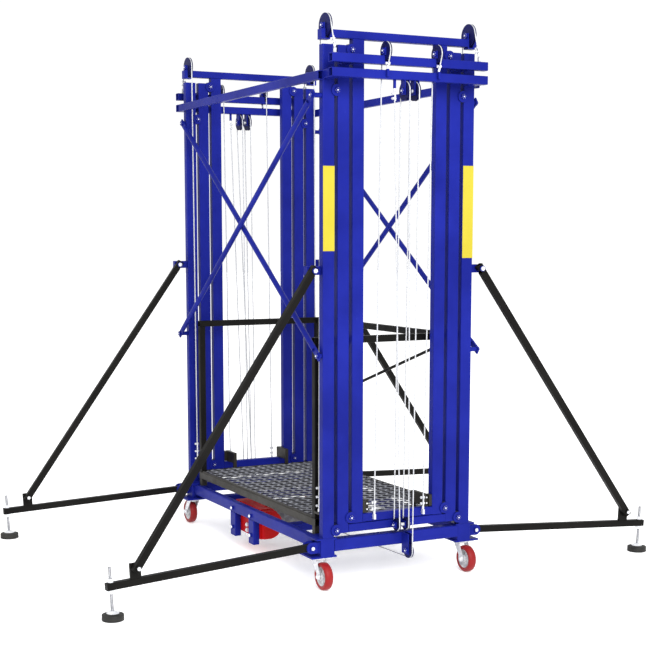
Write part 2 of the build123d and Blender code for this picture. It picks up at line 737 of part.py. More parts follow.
def bolted(y, z, x0, x1, head):
    pin = cross_pin(y, z, x0 - 1, x1 + 1, bolt_r)
    pin += cross_pin(y, z, x1, x1 + bolt_head_h, head)
    pin += cross_pin(y, z, x0 - bolt_head_h, x0, bolt_head_r)
    return pin


arm_x = (-half_arm, half_arm)
arm = tube(arm_x, (-arm_back, arm_len), arm_x, 1, arm_wall, arm_wall)
arm -= cross_pin(0, 0, -50, 50, bolt_r + run_fit)
arm -= rod((0, jack_u, -50), (0, jack_u, 50), screw_r + slide_clear)
lug = block((half_arm - lug_t, half_arm), (lug_u - lug_len / 2, lug_u + lug_len / 2), (half_arm, lug_top))
lug -= cross_pin(lug_u, lug_w, -50, 50, bolt_r + bolt_clear)
lug_bolt = bolted(lug_u, lug_w, half_arm - lug_t, lap1 + slide_clear, bolt_head_r)
weld_nut = rod((0, jack_u, -half_arm - nut_h), (0, jack_u, -half_arm), nut_r)
weld_nut -= rod((0, jack_u, -half_arm - nut_h - 1), (0, jack_u, -half_arm + 1), screw_r + run_fit)
tilt = Rot(-arm_droop, 0, 0)
arm_set = [tilt * s for s in (arm, lug, lug_bolt, weld_nut)]
ground = arm_root_z
drop = (ground - jack_u * math.sin(droop)) / math.cos(droop)
foot_y = jack_u * math.cos(droop) - drop * math.sin(droop)
screw = rod((0, jack_u, -screw_low), (0, jack_u, screw_top), screw_r)
screw += rod((0, jack_u, half_arm + slide_clear), (0, jack_u, half_arm + slide_clear + nut_h), nut_r)
pts = [(0, 0), (foot_r, 0), (foot_r, foot_rim), (foot_neck_r + 5, foot_h - 4)]
pts += [(foot_neck_r, foot_h), (0, foot_h)]
pad = revolve(Plane.XZ * make_face(Polyline(*pts, close=True)), Axis.Z, 360)
pad = Pos(0, foot_y, -ground) * pad
jack = tilt * screw + pad
strut = tube((lap0, lap1), (-strut_end, strut_len + strut_end), arm_x, 1, arm_wall)
strut -= cross_pin(strut_len, 0, 0, 80, bolt_r + run_fit)
slot = block((0, 80), (0, 60), (-bolt_r - 0.5, bolt_r + 0.5)) + cross_pin(0, 0, 0, 80, bolt_r + 0.5)
strut -= Rot(slot_a, 0, 0) * slot
strut = Pos(0, 0, rise_z) * Rot(math.degrees(strut_a), 0, 0) * strut
stub_z = (rise_z - clevis_h / 2, rise_z + clevis_h / 2)
stub = block((-half_arm, half_arm), (-stub_in, clevis_out), stub_z)
stub -= cross_pin(0, rise_z, -50, 50, bolt_r + bolt_clear)
ears = []
for e in (-1, 1):
    ear_x = pair(e, half_arm + face_clear, half_arm + face_clear + ear_t)
    ear = block(ear_x, (-stub_in, 0), (-ear_r, ear_r)) + cross_pin(0, 0, ear_x[0], ear_x[1], ear_r)
    ears.append(ear - cross_pin(0, 0, -50, 50, bolt_r + bolt_clear))
clevis_bolt = bolted(0, rise_z, -half_arm, lap1 + slide_clear, bolt_head_r + 1.5)
ear_face = half_arm + face_clear + ear_t
pad_x = (-ear_face - ear_pad_over, ear_face + ear_pad_over)
ear_pad = block(pad_x, (-stub_in, 0), (-ear_r, ear_r))
root_bolt = bolted(0, 0, -ear_face, ear_face, bolt_head_r)
for sx in (1, -1):
    for sy in (1, -1):
        tag = ("n" if sx > 0 else "f") + ("r" if sy > 0 else "l")
        root = Pos(sx * mid_x + arm_shift, sy * (y1_out + arm_root_y), arm_root_z)
        place = root * Rot(0, 0, -sx * sy * arm_splay)

        def put(shape):
            flat = shape if sy > 0 else mirror(shape, about=Plane.XZ)
            return place * flat

        far_x = (-2 * out_x, 2 * out_x)
        post_side = block(far_x, pair(sy, 0, y1_out), (clevis_z - 2 * clevis_h, clevis_z + 2 * clevis_h))
        block_side = block(far_x, pair(sy, 0, block_out_y), (0, base_top))
        pad_side = block(far_x, pair(sy, 0, block_out_y + ear_pad_t), (0, base_top))
        add("outrigger_arm_" + tag, *[put(s) for s in arm_set])
        add("outrigger_jack_" + tag, put(jack))
        add("outrigger_strut_" + tag, put(strut))
        add("outrigger_brackets", put(stub) - post_side)
        for ear in ears:
            add("outrigger_brackets", put(ear) - pad_side)
        add("outrigger_brackets", (put(ear_pad) - block_side) & pad_side)
        add("base_fittings", put(clevis_bolt), put(root_bolt))

# Winch frame, gearbox, motor and drum
front_y = -y1_out
leg_y = (front_y, gear_y0)
beam_top = base_top - cross_beam_drop
beam_z = (beam_top - cross_beam_h, beam_top)
front_bolts = []
for cx in (leg1_x, leg2_x):
    leg = tube((cx - leg_x / 2, cx + leg_x / 2), leg_y, (leg_low_z, rail_z), 2, post_wall)
    low_at = (cx, front_y, leg_low_z + leg_bolt_low)
    add("winch_frame", leg - front_hole(low_at, post_wall + 1))
    front_bolts += [low_at, (cx, front_y, rail_z + leg_bolt_up)]
beam_half = cross_beam_x - cross_beam / 2
for sx in (1, -1):
    beam_x = pair(sx, beam_half, beam_half + cross_beam)
    add("winch_frame", tube(beam_x, (-rail_in_y, rail_in_y), beam_z, 1, post_wall))
bear_y = drum_y1 + bearing_gap
beam_y = (bear_y - 2, bear_y - 2 + bearing_beam_w)
add("winch_frame", tube((-beam_half, beam_half), beam_y, beam_z, 0, post_wall))
bear_x = (drum_x - bearing_half, drum_x + bearing_half)
bearing = block(bear_x, (bear_y, bear_y + bearing_t), (drum_z - bearing_low, beam_z[0]))
bearing -= rod((drum_x, bear_y - 1, drum_z), (drum_x, bear_y + bearing_t + 1, drum_z), shaft_r + run_fit)
add("winch_frame", bearing)
gear_x = (leg1_x - leg_x / 2, drum_x + drum_flange_r + motor_gap)
gear = block(gear_x, (gear_y0, gear_y1), (gear_z0, gear_z1))
gear -= rod((drum_x, gear_y1 - shaft_in - 2, drum_z), (drum_x, gear_y1 + 1, drum_z), shaft_r + run_fit)
for k in (0, 1):
    low_at = (drum_x + gear_bolt_x, gear_y0, gear_z0 + gear_bolt_low + k * gear_bolt_step)
    gear -= front_hole(low_at, front_bolt_in + 1)
    front_bolts.append(low_at)
add("winch_gearbox", gear)
for at in front_bolts:
    add("base_fittings", front_bolt(at))


def round_back(x, inset):
    radius = motor_r - inset
    back = rod((x[0], motor_y, motor_z), (x[1], motor_y, motor_z), radius)
    back -= block(x, (motor_y - 2 * motor_r, motor_y), (motor_z - motor_r, motor_z + motor_r))
    flat = block(x, (gear_y0 + inset, motor_y), (motor_z - radius, motor_z + radius))
    return flat + back


motor_end = gear_x[1] + motor_len
motor = round_back((gear_x[1], motor_end), 0)
motor += round_back((motor_end, motor_end + fan_len), fan_inset)
add("winch_motor", motor)
drum = rod((drum_x, drum_y0, drum_z), (drum_x, drum_y1, drum_z), drum_r)
drum += rod((drum_x, drum_y0, drum_z), (drum_x, drum_y0 + drum_flange_t, drum_z), drum_flange_r)
drum += rod((drum_x, drum_y1 - drum_flange_t, drum_z), (drum_x, drum_y1, drum_z), drum_flange_r)
drum += rod((drum_x, gear_y1 - shaft_in, drum_z), (drum_x, bear_y + bearing_t + 5, drum_z), shaft_r)
add("winch_drum", drum)

# Platform: deck frame, feet, mesh, guards, guide brackets
deck_top = deck_z + deck_tube
z_range = (deck_z, deck_top)
for sy in (1, -1):
    add("deck_frame", tube((-deck_x, deck_x), pair(sy, deck_y - deck_tube, deck_y), z_range, 0, deck_wall))
inner_y = deck_y - deck_tube
end_tube = tube((deck_x - deck_tube, deck_x), (-inner_y, inner_y), z_range, 1, deck_wall)
third = deck_x / 3
mid_tube = tube((third - deck_tube / 2, third + deck_tube / 2), (-inner_y, inner_y), z_range, 1, deck_wall)
add_mast("deck_frame", "deck_frame", [end_tube, mid_tube])
post_x = (deck_x - guard_tube, deck_x)
for sy in (1, -1):
    post_y = pair(sy, deck_y - guard_tube, deck_y)
    add_mast("deck_frame", "deck_frame", [tube(post_x, post_y, (base_top, deck_z), 2, guard_wall)])
    upright = tube(post_x, post_y, (deck_top, guard_top - guard_tube), 2, guard_wall)
    add_mast("guard_rails", "guard_rails", [upright])
    arm_x = (deck_x, anchor_x + rope_arm_over)
    arm_y = pair(sy, rope_arm_y0, rope_arm_y1)
    rope_arm = block(arm_x, arm_y, (rope_arm_z, rope_arm_z + rope_arm_t))
    pg_out = y3_in - pg_shoe_gap
    reach = block((deck_x, pg_reach), pair(sy, pg_out - pg_arm_t, pg_out), (pg_z0, pg_z1))
    web = block((deck_x - pg_web, deck_x), pair(sy, pg_out - pg_arm_t, pg_out), (deck_top, pg_z1))
    shoe_x = (in_x + shoe_inset, out_x - shoe_inset)
    shoe = block(shoe_x, pair(sy, pg_out, y3_in - slide_clear), (pg_z0 + 2, pg_z1 - 2))
    add_mast("platform_brackets", "platform_brackets", [rope_arm, reach, web, shoe])
end_bar = tube(post_x, (-deck_y, deck_y), (guard_top - guard_tube, guard_top), 1, guard_wall)
add_mast("guard_rails", "guard_rails", [end_bar])
rail_x = deck_x - guard_tube
back_y = (deck_y - guard_tube, deck_y)
add("guard_rails", tube((-rail_x, rail_x), back_y, (guard_top - guard_tube, guard_top), 0, guard_wall))
stay_y = deck_y - guard_tube / 2
stay_half = rail_x - stay_end
add("guard_rails", rod((-stay_half, stay_y, stay_low_z), (stay_half, stay_y, stay_top_z), stay_r))
sheet = Rectangle(2 * (deck_x - mesh_edge), 2 * (deck_y - mesh_edge))
mesh_nx = int(2 * (deck_x - mesh_edge - mesh_border) // mesh_short)
mesh_ny = int(2 * (deck_y - mesh_edge - mesh_border) // mesh_long)
hx = mesh_short * mesh_open
hy = mesh_long * mesh_open
hole = make_face(Polyline((hx, 0), (0, hy), (-hx, 0), (0, -hy), close=True))
sheet -= GridLocations(mesh_short, mesh_long, mesh_nx, mesh_ny) * hole
sheet -= GridLocations(mesh_short, mesh_long, mesh_nx - 1, mesh_ny - 1) * hole
mesh = Pos(0, 0, deck_top) * extrude(sheet, mesh_t)
for sx in (1, -1):
    for sy in (1, -1):
        corner_y = pair(sy, deck_y - guard_tube, deck_y)
        cut_z = (deck_top - 1, deck_top + mesh_t + 1)
        mesh -= block(pair(sx, deck_x - guard_tube, deck_x), corner_y, cut_z)
        notch_in = y3_in - pg_shoe_gap - pg_arm_t - face_clear
        notch_y = pair(sy, notch_in, notch_in + pg_arm_t + 2 * face_clear)
        mesh -= block(pair(sx, deck_x - pg_web - face_clear, deck_x), notch_y, cut_z)
add("deck_mesh", mesh)

# Plain plates on the outward faces of the near mast
for sy, rise, height in ((-1, left_colour_rise, left_colour_h), (1, right_colour_rise, right_colour_h)):
    label_y = pair(sy, y1_in + plate_inset, y1_out - plate_inset)
    label_z = (base_top + rise, base_top + rise + height)
    add("colour_plates", block((out_x, out_x + colour_t), label_y, label_z))

os.makedirs("parts", exist_ok=True)
for name, solids in nodes.items():
    shape = solids[0] if len(solids) == 1 else Compound(children=solids)
    export_step(shape, "parts/" + name + ".step")
print(len(nodes), "nodes", sum(len(s) for s in nodes.values()), "solids")
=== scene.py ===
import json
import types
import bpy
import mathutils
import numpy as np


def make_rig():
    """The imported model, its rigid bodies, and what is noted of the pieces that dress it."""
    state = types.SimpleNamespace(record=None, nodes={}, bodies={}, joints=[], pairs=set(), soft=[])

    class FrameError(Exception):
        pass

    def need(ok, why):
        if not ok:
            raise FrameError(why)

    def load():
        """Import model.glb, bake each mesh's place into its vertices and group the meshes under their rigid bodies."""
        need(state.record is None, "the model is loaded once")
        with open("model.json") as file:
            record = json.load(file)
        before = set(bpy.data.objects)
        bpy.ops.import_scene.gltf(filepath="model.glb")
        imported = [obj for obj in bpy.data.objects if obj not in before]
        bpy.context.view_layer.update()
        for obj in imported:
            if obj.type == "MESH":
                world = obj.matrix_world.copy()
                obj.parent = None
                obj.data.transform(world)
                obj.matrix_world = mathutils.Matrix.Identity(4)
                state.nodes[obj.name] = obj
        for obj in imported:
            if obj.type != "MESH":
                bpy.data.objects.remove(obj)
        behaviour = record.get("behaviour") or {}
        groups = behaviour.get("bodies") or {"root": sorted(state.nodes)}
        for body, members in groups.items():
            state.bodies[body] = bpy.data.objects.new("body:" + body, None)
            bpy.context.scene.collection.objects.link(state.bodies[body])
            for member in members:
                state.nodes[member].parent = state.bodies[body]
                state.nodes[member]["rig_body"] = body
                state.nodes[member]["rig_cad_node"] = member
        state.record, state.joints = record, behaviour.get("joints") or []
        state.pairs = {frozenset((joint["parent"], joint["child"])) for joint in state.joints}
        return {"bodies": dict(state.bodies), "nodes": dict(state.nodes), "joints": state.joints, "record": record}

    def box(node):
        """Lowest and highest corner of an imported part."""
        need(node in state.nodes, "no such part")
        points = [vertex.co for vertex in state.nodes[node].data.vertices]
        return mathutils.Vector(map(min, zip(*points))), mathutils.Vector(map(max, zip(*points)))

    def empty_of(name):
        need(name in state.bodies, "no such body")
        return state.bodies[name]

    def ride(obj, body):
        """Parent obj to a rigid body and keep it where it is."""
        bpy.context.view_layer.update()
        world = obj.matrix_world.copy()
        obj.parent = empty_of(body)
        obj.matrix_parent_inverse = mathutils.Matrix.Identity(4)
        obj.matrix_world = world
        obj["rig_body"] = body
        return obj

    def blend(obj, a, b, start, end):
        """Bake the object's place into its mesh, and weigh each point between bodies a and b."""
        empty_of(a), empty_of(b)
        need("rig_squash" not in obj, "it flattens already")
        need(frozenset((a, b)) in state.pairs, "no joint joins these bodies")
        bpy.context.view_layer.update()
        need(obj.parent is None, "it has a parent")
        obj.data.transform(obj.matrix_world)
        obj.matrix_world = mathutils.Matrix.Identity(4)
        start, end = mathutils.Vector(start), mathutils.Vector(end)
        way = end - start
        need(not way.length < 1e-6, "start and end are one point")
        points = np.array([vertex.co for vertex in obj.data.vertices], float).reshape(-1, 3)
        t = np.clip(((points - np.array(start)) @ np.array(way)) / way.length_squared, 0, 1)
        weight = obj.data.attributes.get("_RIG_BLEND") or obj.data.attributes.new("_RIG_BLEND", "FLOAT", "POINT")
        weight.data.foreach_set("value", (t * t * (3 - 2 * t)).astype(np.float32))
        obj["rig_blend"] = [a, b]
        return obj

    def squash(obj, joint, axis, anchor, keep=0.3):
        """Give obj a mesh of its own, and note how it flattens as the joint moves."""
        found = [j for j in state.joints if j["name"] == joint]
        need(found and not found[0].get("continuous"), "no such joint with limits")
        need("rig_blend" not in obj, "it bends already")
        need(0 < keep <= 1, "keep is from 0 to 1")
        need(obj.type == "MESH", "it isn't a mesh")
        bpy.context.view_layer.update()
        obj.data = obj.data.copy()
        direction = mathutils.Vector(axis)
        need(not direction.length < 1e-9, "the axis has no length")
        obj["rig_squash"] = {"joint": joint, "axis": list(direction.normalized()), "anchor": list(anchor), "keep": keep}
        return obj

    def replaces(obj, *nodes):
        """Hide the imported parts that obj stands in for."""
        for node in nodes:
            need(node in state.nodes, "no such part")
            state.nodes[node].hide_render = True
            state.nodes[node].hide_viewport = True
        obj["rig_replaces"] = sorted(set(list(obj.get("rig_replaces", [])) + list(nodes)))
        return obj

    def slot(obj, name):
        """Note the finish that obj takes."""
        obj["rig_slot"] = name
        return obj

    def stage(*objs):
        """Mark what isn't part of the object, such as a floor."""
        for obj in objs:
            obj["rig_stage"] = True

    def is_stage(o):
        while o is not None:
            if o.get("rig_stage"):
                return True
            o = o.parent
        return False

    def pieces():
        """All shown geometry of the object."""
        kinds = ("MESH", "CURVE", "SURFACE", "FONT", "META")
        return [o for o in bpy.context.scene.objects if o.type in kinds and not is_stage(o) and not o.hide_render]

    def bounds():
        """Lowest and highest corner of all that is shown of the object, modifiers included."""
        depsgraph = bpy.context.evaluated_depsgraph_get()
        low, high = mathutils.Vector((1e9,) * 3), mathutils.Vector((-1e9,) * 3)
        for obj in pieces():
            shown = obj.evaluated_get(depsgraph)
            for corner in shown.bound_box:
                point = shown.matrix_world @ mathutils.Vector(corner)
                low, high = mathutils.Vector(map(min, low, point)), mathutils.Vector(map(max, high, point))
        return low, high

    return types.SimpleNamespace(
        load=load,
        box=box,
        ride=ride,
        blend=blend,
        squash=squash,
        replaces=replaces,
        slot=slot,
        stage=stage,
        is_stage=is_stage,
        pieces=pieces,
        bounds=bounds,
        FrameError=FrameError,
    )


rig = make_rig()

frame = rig.load()

import json
import math

import bmesh
import bpy
from mathutils import Matrix, Vector

cad_low, cad_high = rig.bounds()
nodes = frame["nodes"]
joints = {j["name"]: j for j in frame["joints"]}
scene = bpy.context.scene

# Named sizes in metres
rope_r = 0.0025
rope_lay = 0.036
rope_sides = 12
sheave_lip = 0.002
sheave_w = 0.011
lift_stroke = 1.25
shoe_depth = (0.6205, 0.6495)
shoe_reach = 0.262
shoe_heights = (0.15, 1.92)
masts = (("near", 1.0), ("far", -1.0))
corners = {"nl": (1, -1), "nr": (1, 1), "fl": (-1, -1), "fr": (-1, 1)}


# Colours are written as they look on a screen
def srgb(r, g, b):
    def linear(c):
        c = c / 255.0
        return c / 12.92 if c <= 0.04045 else ((c + 0.055) / 1.055) ** 2.4

    return (linear(r), linear(g), linear(b), 1.0)


# Shader building blocks
def shader(name):
    mat = bpy.data.materials.new(name)
    mat.use_nodes = True
    tree = mat.node_tree
    tree.nodes.clear()
    out = tree.nodes.new("ShaderNodeOutputMaterial")
    bsdf = tree.nodes.new("ShaderNodeBsdfPrincipled")
    tree.links.new(bsdf.outputs["BSDF"], out.inputs["Surface"])
    return mat, tree, bsdf


def place(tree):
    return tree.nodes.new("ShaderNodeTexCoord").outputs["Object"]


def noise(tree, coords, scale, detail=4.0, roughness=0.55):
    node = tree.nodes.new("ShaderNodeTexNoise")
    node.inputs["Scale"].default_value = scale
    node.inputs["Detail"].default_value = detail
    node.inputs["Roughness"].default_value = roughness
    tree.links.new(coords, node.inputs["Vector"])
    return node.outputs["Fac"]


def stretched(tree, coords, x, y, z):
    node = tree.nodes.new("ShaderNodeMapping")
    node.inputs["Scale"].default_value = (x, y, z)
    tree.links.new(coords, node.inputs["Vector"])
    return node.outputs["Vector"]


def ramp(tree, value, stops):
    node = tree.nodes.new("ShaderNodeValToRGB")
    band = node.color_ramp
    while len(band.elements) < len(stops):
        band.elements.new(0.5)
    for element, (at, colour) in zip(band.elements, stops):
        element.position = at
        element.color = colour
    tree.links.new(value, node.inputs["Fac"])
    return node.outputs["Color"]


def remap(tree, value, low, high, to_low, to_high):
    node = tree.nodes.new("ShaderNodeMapRange")
    node.inputs["From Min"].default_value = low
    node.inputs["From Max"].default_value = high
    node.inputs["To Min"].default_value = to_low
    node.inputs["To Max"].default_value = to_high
    tree.links.new(value, node.inputs["Value"])
    return node.outputs["Result"]


def mixed(tree, share, a, b):
    node = tree.nodes.new("ShaderNodeMix")
    node.data_type = "RGBA"
    tree.links.new(share, node.inputs["Factor"])
    for value, socket in ((a, node.inputs[6]), (b, node.inputs[7])):
        if isinstance(value, tuple):
            socket.default_value = value
        else:
            tree.links.new(value, socket)
    return node.outputs[2]


def maths(tree, operation, a, b=None):
    node = tree.nodes.new("ShaderNodeMath")
    node.operation = operation
    for value, socket in ((a, node.inputs[0]), (b, node.inputs[1])):
        if value is None:
            continue
        if isinstance(value, (int, float)):
            socket.default_value = value
        else:
            tree.links.new(value, socket)
    return node.outputs["Value"]


def bumped(tree, bsdf, height, strength, distance):
    node = tree.nodes.new("ShaderNodeBump")
    node.inputs["Strength"].default_value = strength
    node.inputs["Distance"].default_value = distance
    tree.links.new(height, node.inputs["Height"])
    tree.links.new(node.outputs["Normal"], bsdf.inputs["Normal"])


def powder_coat(name, light, dark, chip, rough, peel, gloss):
    """Baked paint: slow drift of tone, orange peel, a few rubbed marks."""
    mat, tree, bsdf = shader(name)
    at = place(tree)
    drift = noise(tree, at, 4.0, 5.0)
    film = ramp(tree, drift, [(0.35, dark), (0.65, light)])
    rub = noise(tree, stretched(tree, at, 30.0, 30.0, 7.0), 2.2, 8.0, 0.7)
    marks = remap(tree, rub, 0.66, 0.74, 0.0, 0.35)
    tree.links.new(mixed(tree, marks, film, chip), bsdf.inputs["Base Color"])
    haze = noise(tree, at, 26.0, 4.0)
    tree.links.new(remap(tree, haze, 0.3, 0.7, rough[0], rough[1]), bsdf.inputs["Roughness"])
    bumped(tree, bsdf, noise(tree, at, 340.0, 2.0), peel, 0.0006)
    bsdf.inputs["Specular IOR Level"].default_value = gloss
    return mat


def shoe_mask(tree, at):
    """One where a fitting is a nylon guide shoe: inside the gap between two posts."""
    split = tree.nodes.new("ShaderNodeSeparateXYZ")
    tree.links.new(at, split.inputs["Vector"])
    depth = maths(tree, "ABSOLUTE", split.outputs["X"])
    across = maths(tree, "ABSOLUTE", split.outputs["Y"])
    inside = maths(tree, "GREATER_THAN", depth, shoe_depth[0])
    inside = maths(tree, "MULTIPLY", inside, maths(tree, "LESS_THAN", depth, shoe_depth[1]))
    inside = maths(tree, "MULTIPLY", inside, maths(tree, "LESS_THAN", across, shoe_reach))
    height = split.outputs["Z"]
    inside = maths(tree, "MULTIPLY", inside, maths(tree, "GREATER_THAN", height, shoe_heights[0]))
    return maths(tree, "MULTIPLY", inside, maths(tree, "LESS_THAN", height, shoe_heights[1]))


def painted_light_mesh(name, paint, top_highlight, low, high):
    """Black paint on expanded metal, darker low on the strands as painted shade and lighter towards the upper edges as
    a painted highlight, in uneven patches.
    """
    mat, tree, bsdf = shader(name)
    at = place(tree)
    split = tree.nodes.new("ShaderNodeSeparateXYZ")
    tree.links.new(at, split.inputs["Vector"])
    patch = noise(tree, at, 14.0, 5.0)
    # Painted light: colour runs from the black paint low on the strands (painted shade) to light grey at the tops
    # (painted highlight)
    highlight_share = remap(tree, split.outputs["Z"], low, high, 0.0, 1.0)
    highlight_share = maths(tree, "MULTIPLY", highlight_share, remap(tree, patch, 0.3, 0.7, 0.75, 1.0))
    tree.links.new(mixed(tree, highlight_share, paint, top_highlight), bsdf.inputs["Base Color"])
    tree.links.new(remap(tree, highlight_share, 0.0, 1.0, 0.55, 0.38), bsdf.inputs["Roughness"])
    bumped(tree, bsdf, noise(tree, at, 300.0, 3.0), 0.15, 0.0004)
    bsdf.inputs["Specular IOR Level"].default_value = 0.3
    return mat


def zinc(name, light, dark, scale, rough, metallic, with_shoes=False):
    """Zinc-plated steel: flake pattern and fine brushing. Fittings have nylon shoes among them."""
    mat, tree, bsdf = shader(name)
    at = place(tree)
    flakes = tree.nodes.new("ShaderNodeTexVoronoi")
    flakes.inputs["Scale"].default_value = scale
    tree.links.new(at, flakes.inputs["Vector"])
    tone = tree.nodes.new("ShaderNodeSeparateColor")
    tree.links.new(flakes.outputs["Color"], tone.inputs["Color"])
    plating = ramp(tree, tone.outputs["Red"], [(0.1, dark), (0.9, light)])
    if with_shoes:
        mask = shoe_mask(tree, at)
        plating = mixed(tree, mask, plating, srgb(34, 34, 38))
        tree.links.new(remap(tree, mask, 0.0, 1.0, metallic, 0.0), bsdf.inputs["Metallic"])
    else:
        bsdf.inputs["Metallic"].default_value = metallic
    tree.links.new(plating, bsdf.inputs["Base Color"])
    haze = noise(tree, at, 90.0, 5.0)
    tree.links.new(remap(tree, haze, 0.3, 0.7, rough[0], rough[1]), bsdf.inputs["Roughness"])
    bumped(tree, bsdf, noise(tree, at, 900.0, 3.0), 0.12, 0.0003)
    return mat


def rubber(name, light, dark, grain):
    """Moulded rubber: matt, with a fine grain and dusty patches."""
    mat, tree, bsdf = shader(name)
    at = place(tree)
    dust = noise(tree, at, 22.0, 6.0)
    tree.links.new(ramp(tree, dust, [(0.35, dark), (0.7, light)]), bsdf.inputs["Base Color"])
    tree.links.new(remap(tree, noise(tree, at, 60.0, 3.0), 0.3, 0.7, 0.5, 0.75), bsdf.inputs["Roughness"])
    bumped(tree, bsdf, noise(tree, at, grain, 3.0), 0.25, 0.0005)
    bsdf.inputs["Specular IOR Level"].default_value = 0.25
    return mat


blue = powder_coat(
    "blue_paint", srgb(23, 32, 126), srgb(16, 24, 108), srgb(58, 66, 164), (0.3, 0.44), 0.1, 0.06)
black = powder_coat(
    "black_paint", srgb(20, 19, 17), srgb(12, 11, 10), srgb(50, 48, 44), (0.42, 0.56), 0.16, 0.08)
deck_black = powder_coat(
    "deck_paint", srgb(41, 38, 33), srgb(30, 28, 24), srgb(86, 80, 70), (0.4, 0.55), 0.18, 0.2)
# Deck mesh: black paint, with a painted highlight in light grey on the strand tops over painted shade lower down
mesh_black = painted_light_mesh("mesh_paint", srgb(24, 24, 27), srgb(138, 140, 148), 0.2410, 0.2446)
winch_red = powder_coat(
    "winch_red", srgb(180, 12, 12), srgb(152, 8, 8), srgb(190, 70, 62), (0.34, 0.5), 0.2, 0.12)
yellow = powder_coat(
    "yellow_vinyl", srgb(174, 162, 52), srgb(168, 154, 45), srgb(188, 178, 92), (0.4, 0.55), 0.08, 0.1)
sheave_paint = powder_coat(
    "sheave_iron", srgb(16, 19, 78), srgb(10, 12, 54), srgb(70, 72, 120), (0.36, 0.5), 0.2, 0.08)
wheel_red = powder_coat(
    "wheel_red", srgb(140, 26, 28), srgb(122, 20, 22), srgb(172, 74, 72), (0.34, 0.48), 0.12, 0.2)
galvanised = zinc("galvanised", srgb(216, 217, 220), srgb(190, 192, 197), 120.0, (0.26, 0.38), 0.4, True)
bright_zinc = zinc("bright_zinc", srgb(224, 225, 228), srgb(204, 206, 210), 160.0, (0.24, 0.36), 0.35)
screw_steel = zinc("screw_steel", srgb(158, 159, 162), srgb(132, 133, 138), 200.0, (0.3, 0.45), 0.5)
hub_grey = zinc("hub_grey", srgb(196, 196, 198), srgb(170, 170, 174), 80.0, (0.4, 0.55), 0.1)
drum_steel = zinc("drum_steel", srgb(120, 120, 123), srgb(92, 92, 96), 60.0, (0.38, 0.55), 0.7)
wire = zinc("wire_rope", srgb(198, 199, 202), srgb(176, 178, 182), 300.0, (0.3, 0.42), 0.3)
foot_rubber = rubber("foot_rubber", srgb(44, 43, 41), srgb(24, 24, 23), 420.0)


# Mesh building blocks
def mesh_object(name, verts, faces, mat, sharp=35.0):
    mesh = bpy.data.meshes.new(name)
    mesh.from_pydata(verts, [], faces)
    mesh.materials.append(mat)
    work = bmesh.new()
    work.from_mesh(mesh)
    bmesh.ops.recalc_face_normals(work, faces=work.faces)
    work.to_mesh(mesh)
    work.free()
    mesh.polygons.foreach_set("use_smooth", [True] * len(mesh.polygons))
    mesh.set_sharp_from_angle(angle=math.radians(sharp))
    mesh.update()
    obj = bpy.data.objects.new(name, mesh)
    scene.collection.objects.link(obj)
    return obj


def joined(shapes):
    verts = []
    faces = []
    for shape_verts, shape_faces in shapes:
        start = len(verts)
        verts += shape_verts
        faces += [tuple(start + k for k in face) for face in shape_faces]
    return verts, faces


def piece(name, body, mat, slot, shapes):
    """One visual piece made of several closed shapes, riding a body of the lift."""
    obj = mesh_object(name, *joined(shapes), mat)
    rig.slot(obj, slot)
    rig.ride(obj, body)
    return obj


def side_axes(along):
    along = Vector(along).normalized()
    first = along.orthogonal().normalized()
    return along, first, along.cross(first)


def around(first, other, radius, angle):
    """A point on a circle across two axes."""
    return first * (radius * math.cos(angle)) + other * (radius * math.sin(angle))


def lathe(profile, at, along, sides, ring=False):
    """A turned shape of (radius, height) rows along an axis. A ring's last row joins its first."""
    along, first, other = side_axes(along)
    at = Vector(at)
    verts = []
    for radius, height in profile:
        for k in range(sides):
            a = 2 * math.pi * k / sides
            verts.append(at + along * height + around(first, other, radius, a))
    rows = len(profile)
    faces = []
    for i in range(rows if ring else rows - 1):
        j = (i + 1) % rows
        for k in range(sides):
            m = (k + 1) % sides
            faces.append((i * sides + k, i * sides + m, j * sides + m, j * sides + k))
    if not ring:
        faces.append(tuple(reversed(range(sides))))
        faces.append(tuple((rows - 1) * sides + k for k in range(sides)))
    return verts, faces


def beam(a, b, across, width, height):
    """A straight bar from a to b; across is the direction of its width."""
    a = Vector(a)
    b = Vector(b)
    w = Vector(across).normalized()
    h = (b - a).normalized().cross(w).normalized()
    w = w * (width / 2)
    h = h * (height / 2)
    verts = []
    for end in (a, b):
        verts += [end - w - h, end + w - h, end + w + h, end - w + h]
    faces = [(3, 2, 1, 0), (4, 5, 6, 7)]
    for k in range(4):
        m = (k + 1) % 4
        faces.append((k, m, m + 4, k + 4))
    return verts, faces


def swept(path, ring_at, count):
    """A closed skin over a path; ring_at gives the points of one ring from its place and axes."""
    verts = []
    faces = []
    across = (path[1] - path[0]).orthogonal().normalized()
    travelled = 0.0
    for i, point in enumerate(path):
        ahead = path[min(i + 1, len(path) - 1)]
        behind = path[max(i - 1, 0)]
        along = (ahead - behind).normalized()
        across = (across - along * across.dot(along)).normalized()
        travelled += (point - behind).length
        verts += ring_at(point, across, along.cross(across), travelled)
    rings = len(path)
    for i in range(rings - 1):
        for k in range(count):
            a = i * count + k
            b = i * count + (k + 1) % count
            faces.append((a, b, b + count, a + count))
    faces.append(tuple(reversed(range(count))))
    faces.append(tuple((rings - 1) * count + k for k in range(count)))
    return verts, faces


def round_bar(path, radius, sides=8):
    def ring_at(point, across, other, travelled):
        out = []
        for k in range(sides):
            a = 2 * math.pi * k / sides
            out.append(point + around(across, other, radius, a))
        return out

    return swept([Vector(p) for p in path], ring_at, sides)


# Ropes: six strands laid round the path
def laid_ring(point, across, other, travelled):
    out = []
    for k in range(rope_sides):
        radius = rope_r if k % 2 == 0 else 0.8 * rope_r
        turn = 2 * math.pi * (k / rope_sides + travelled / rope_lay)
        out.append(point + around(across, other, radius, turn))
    return out


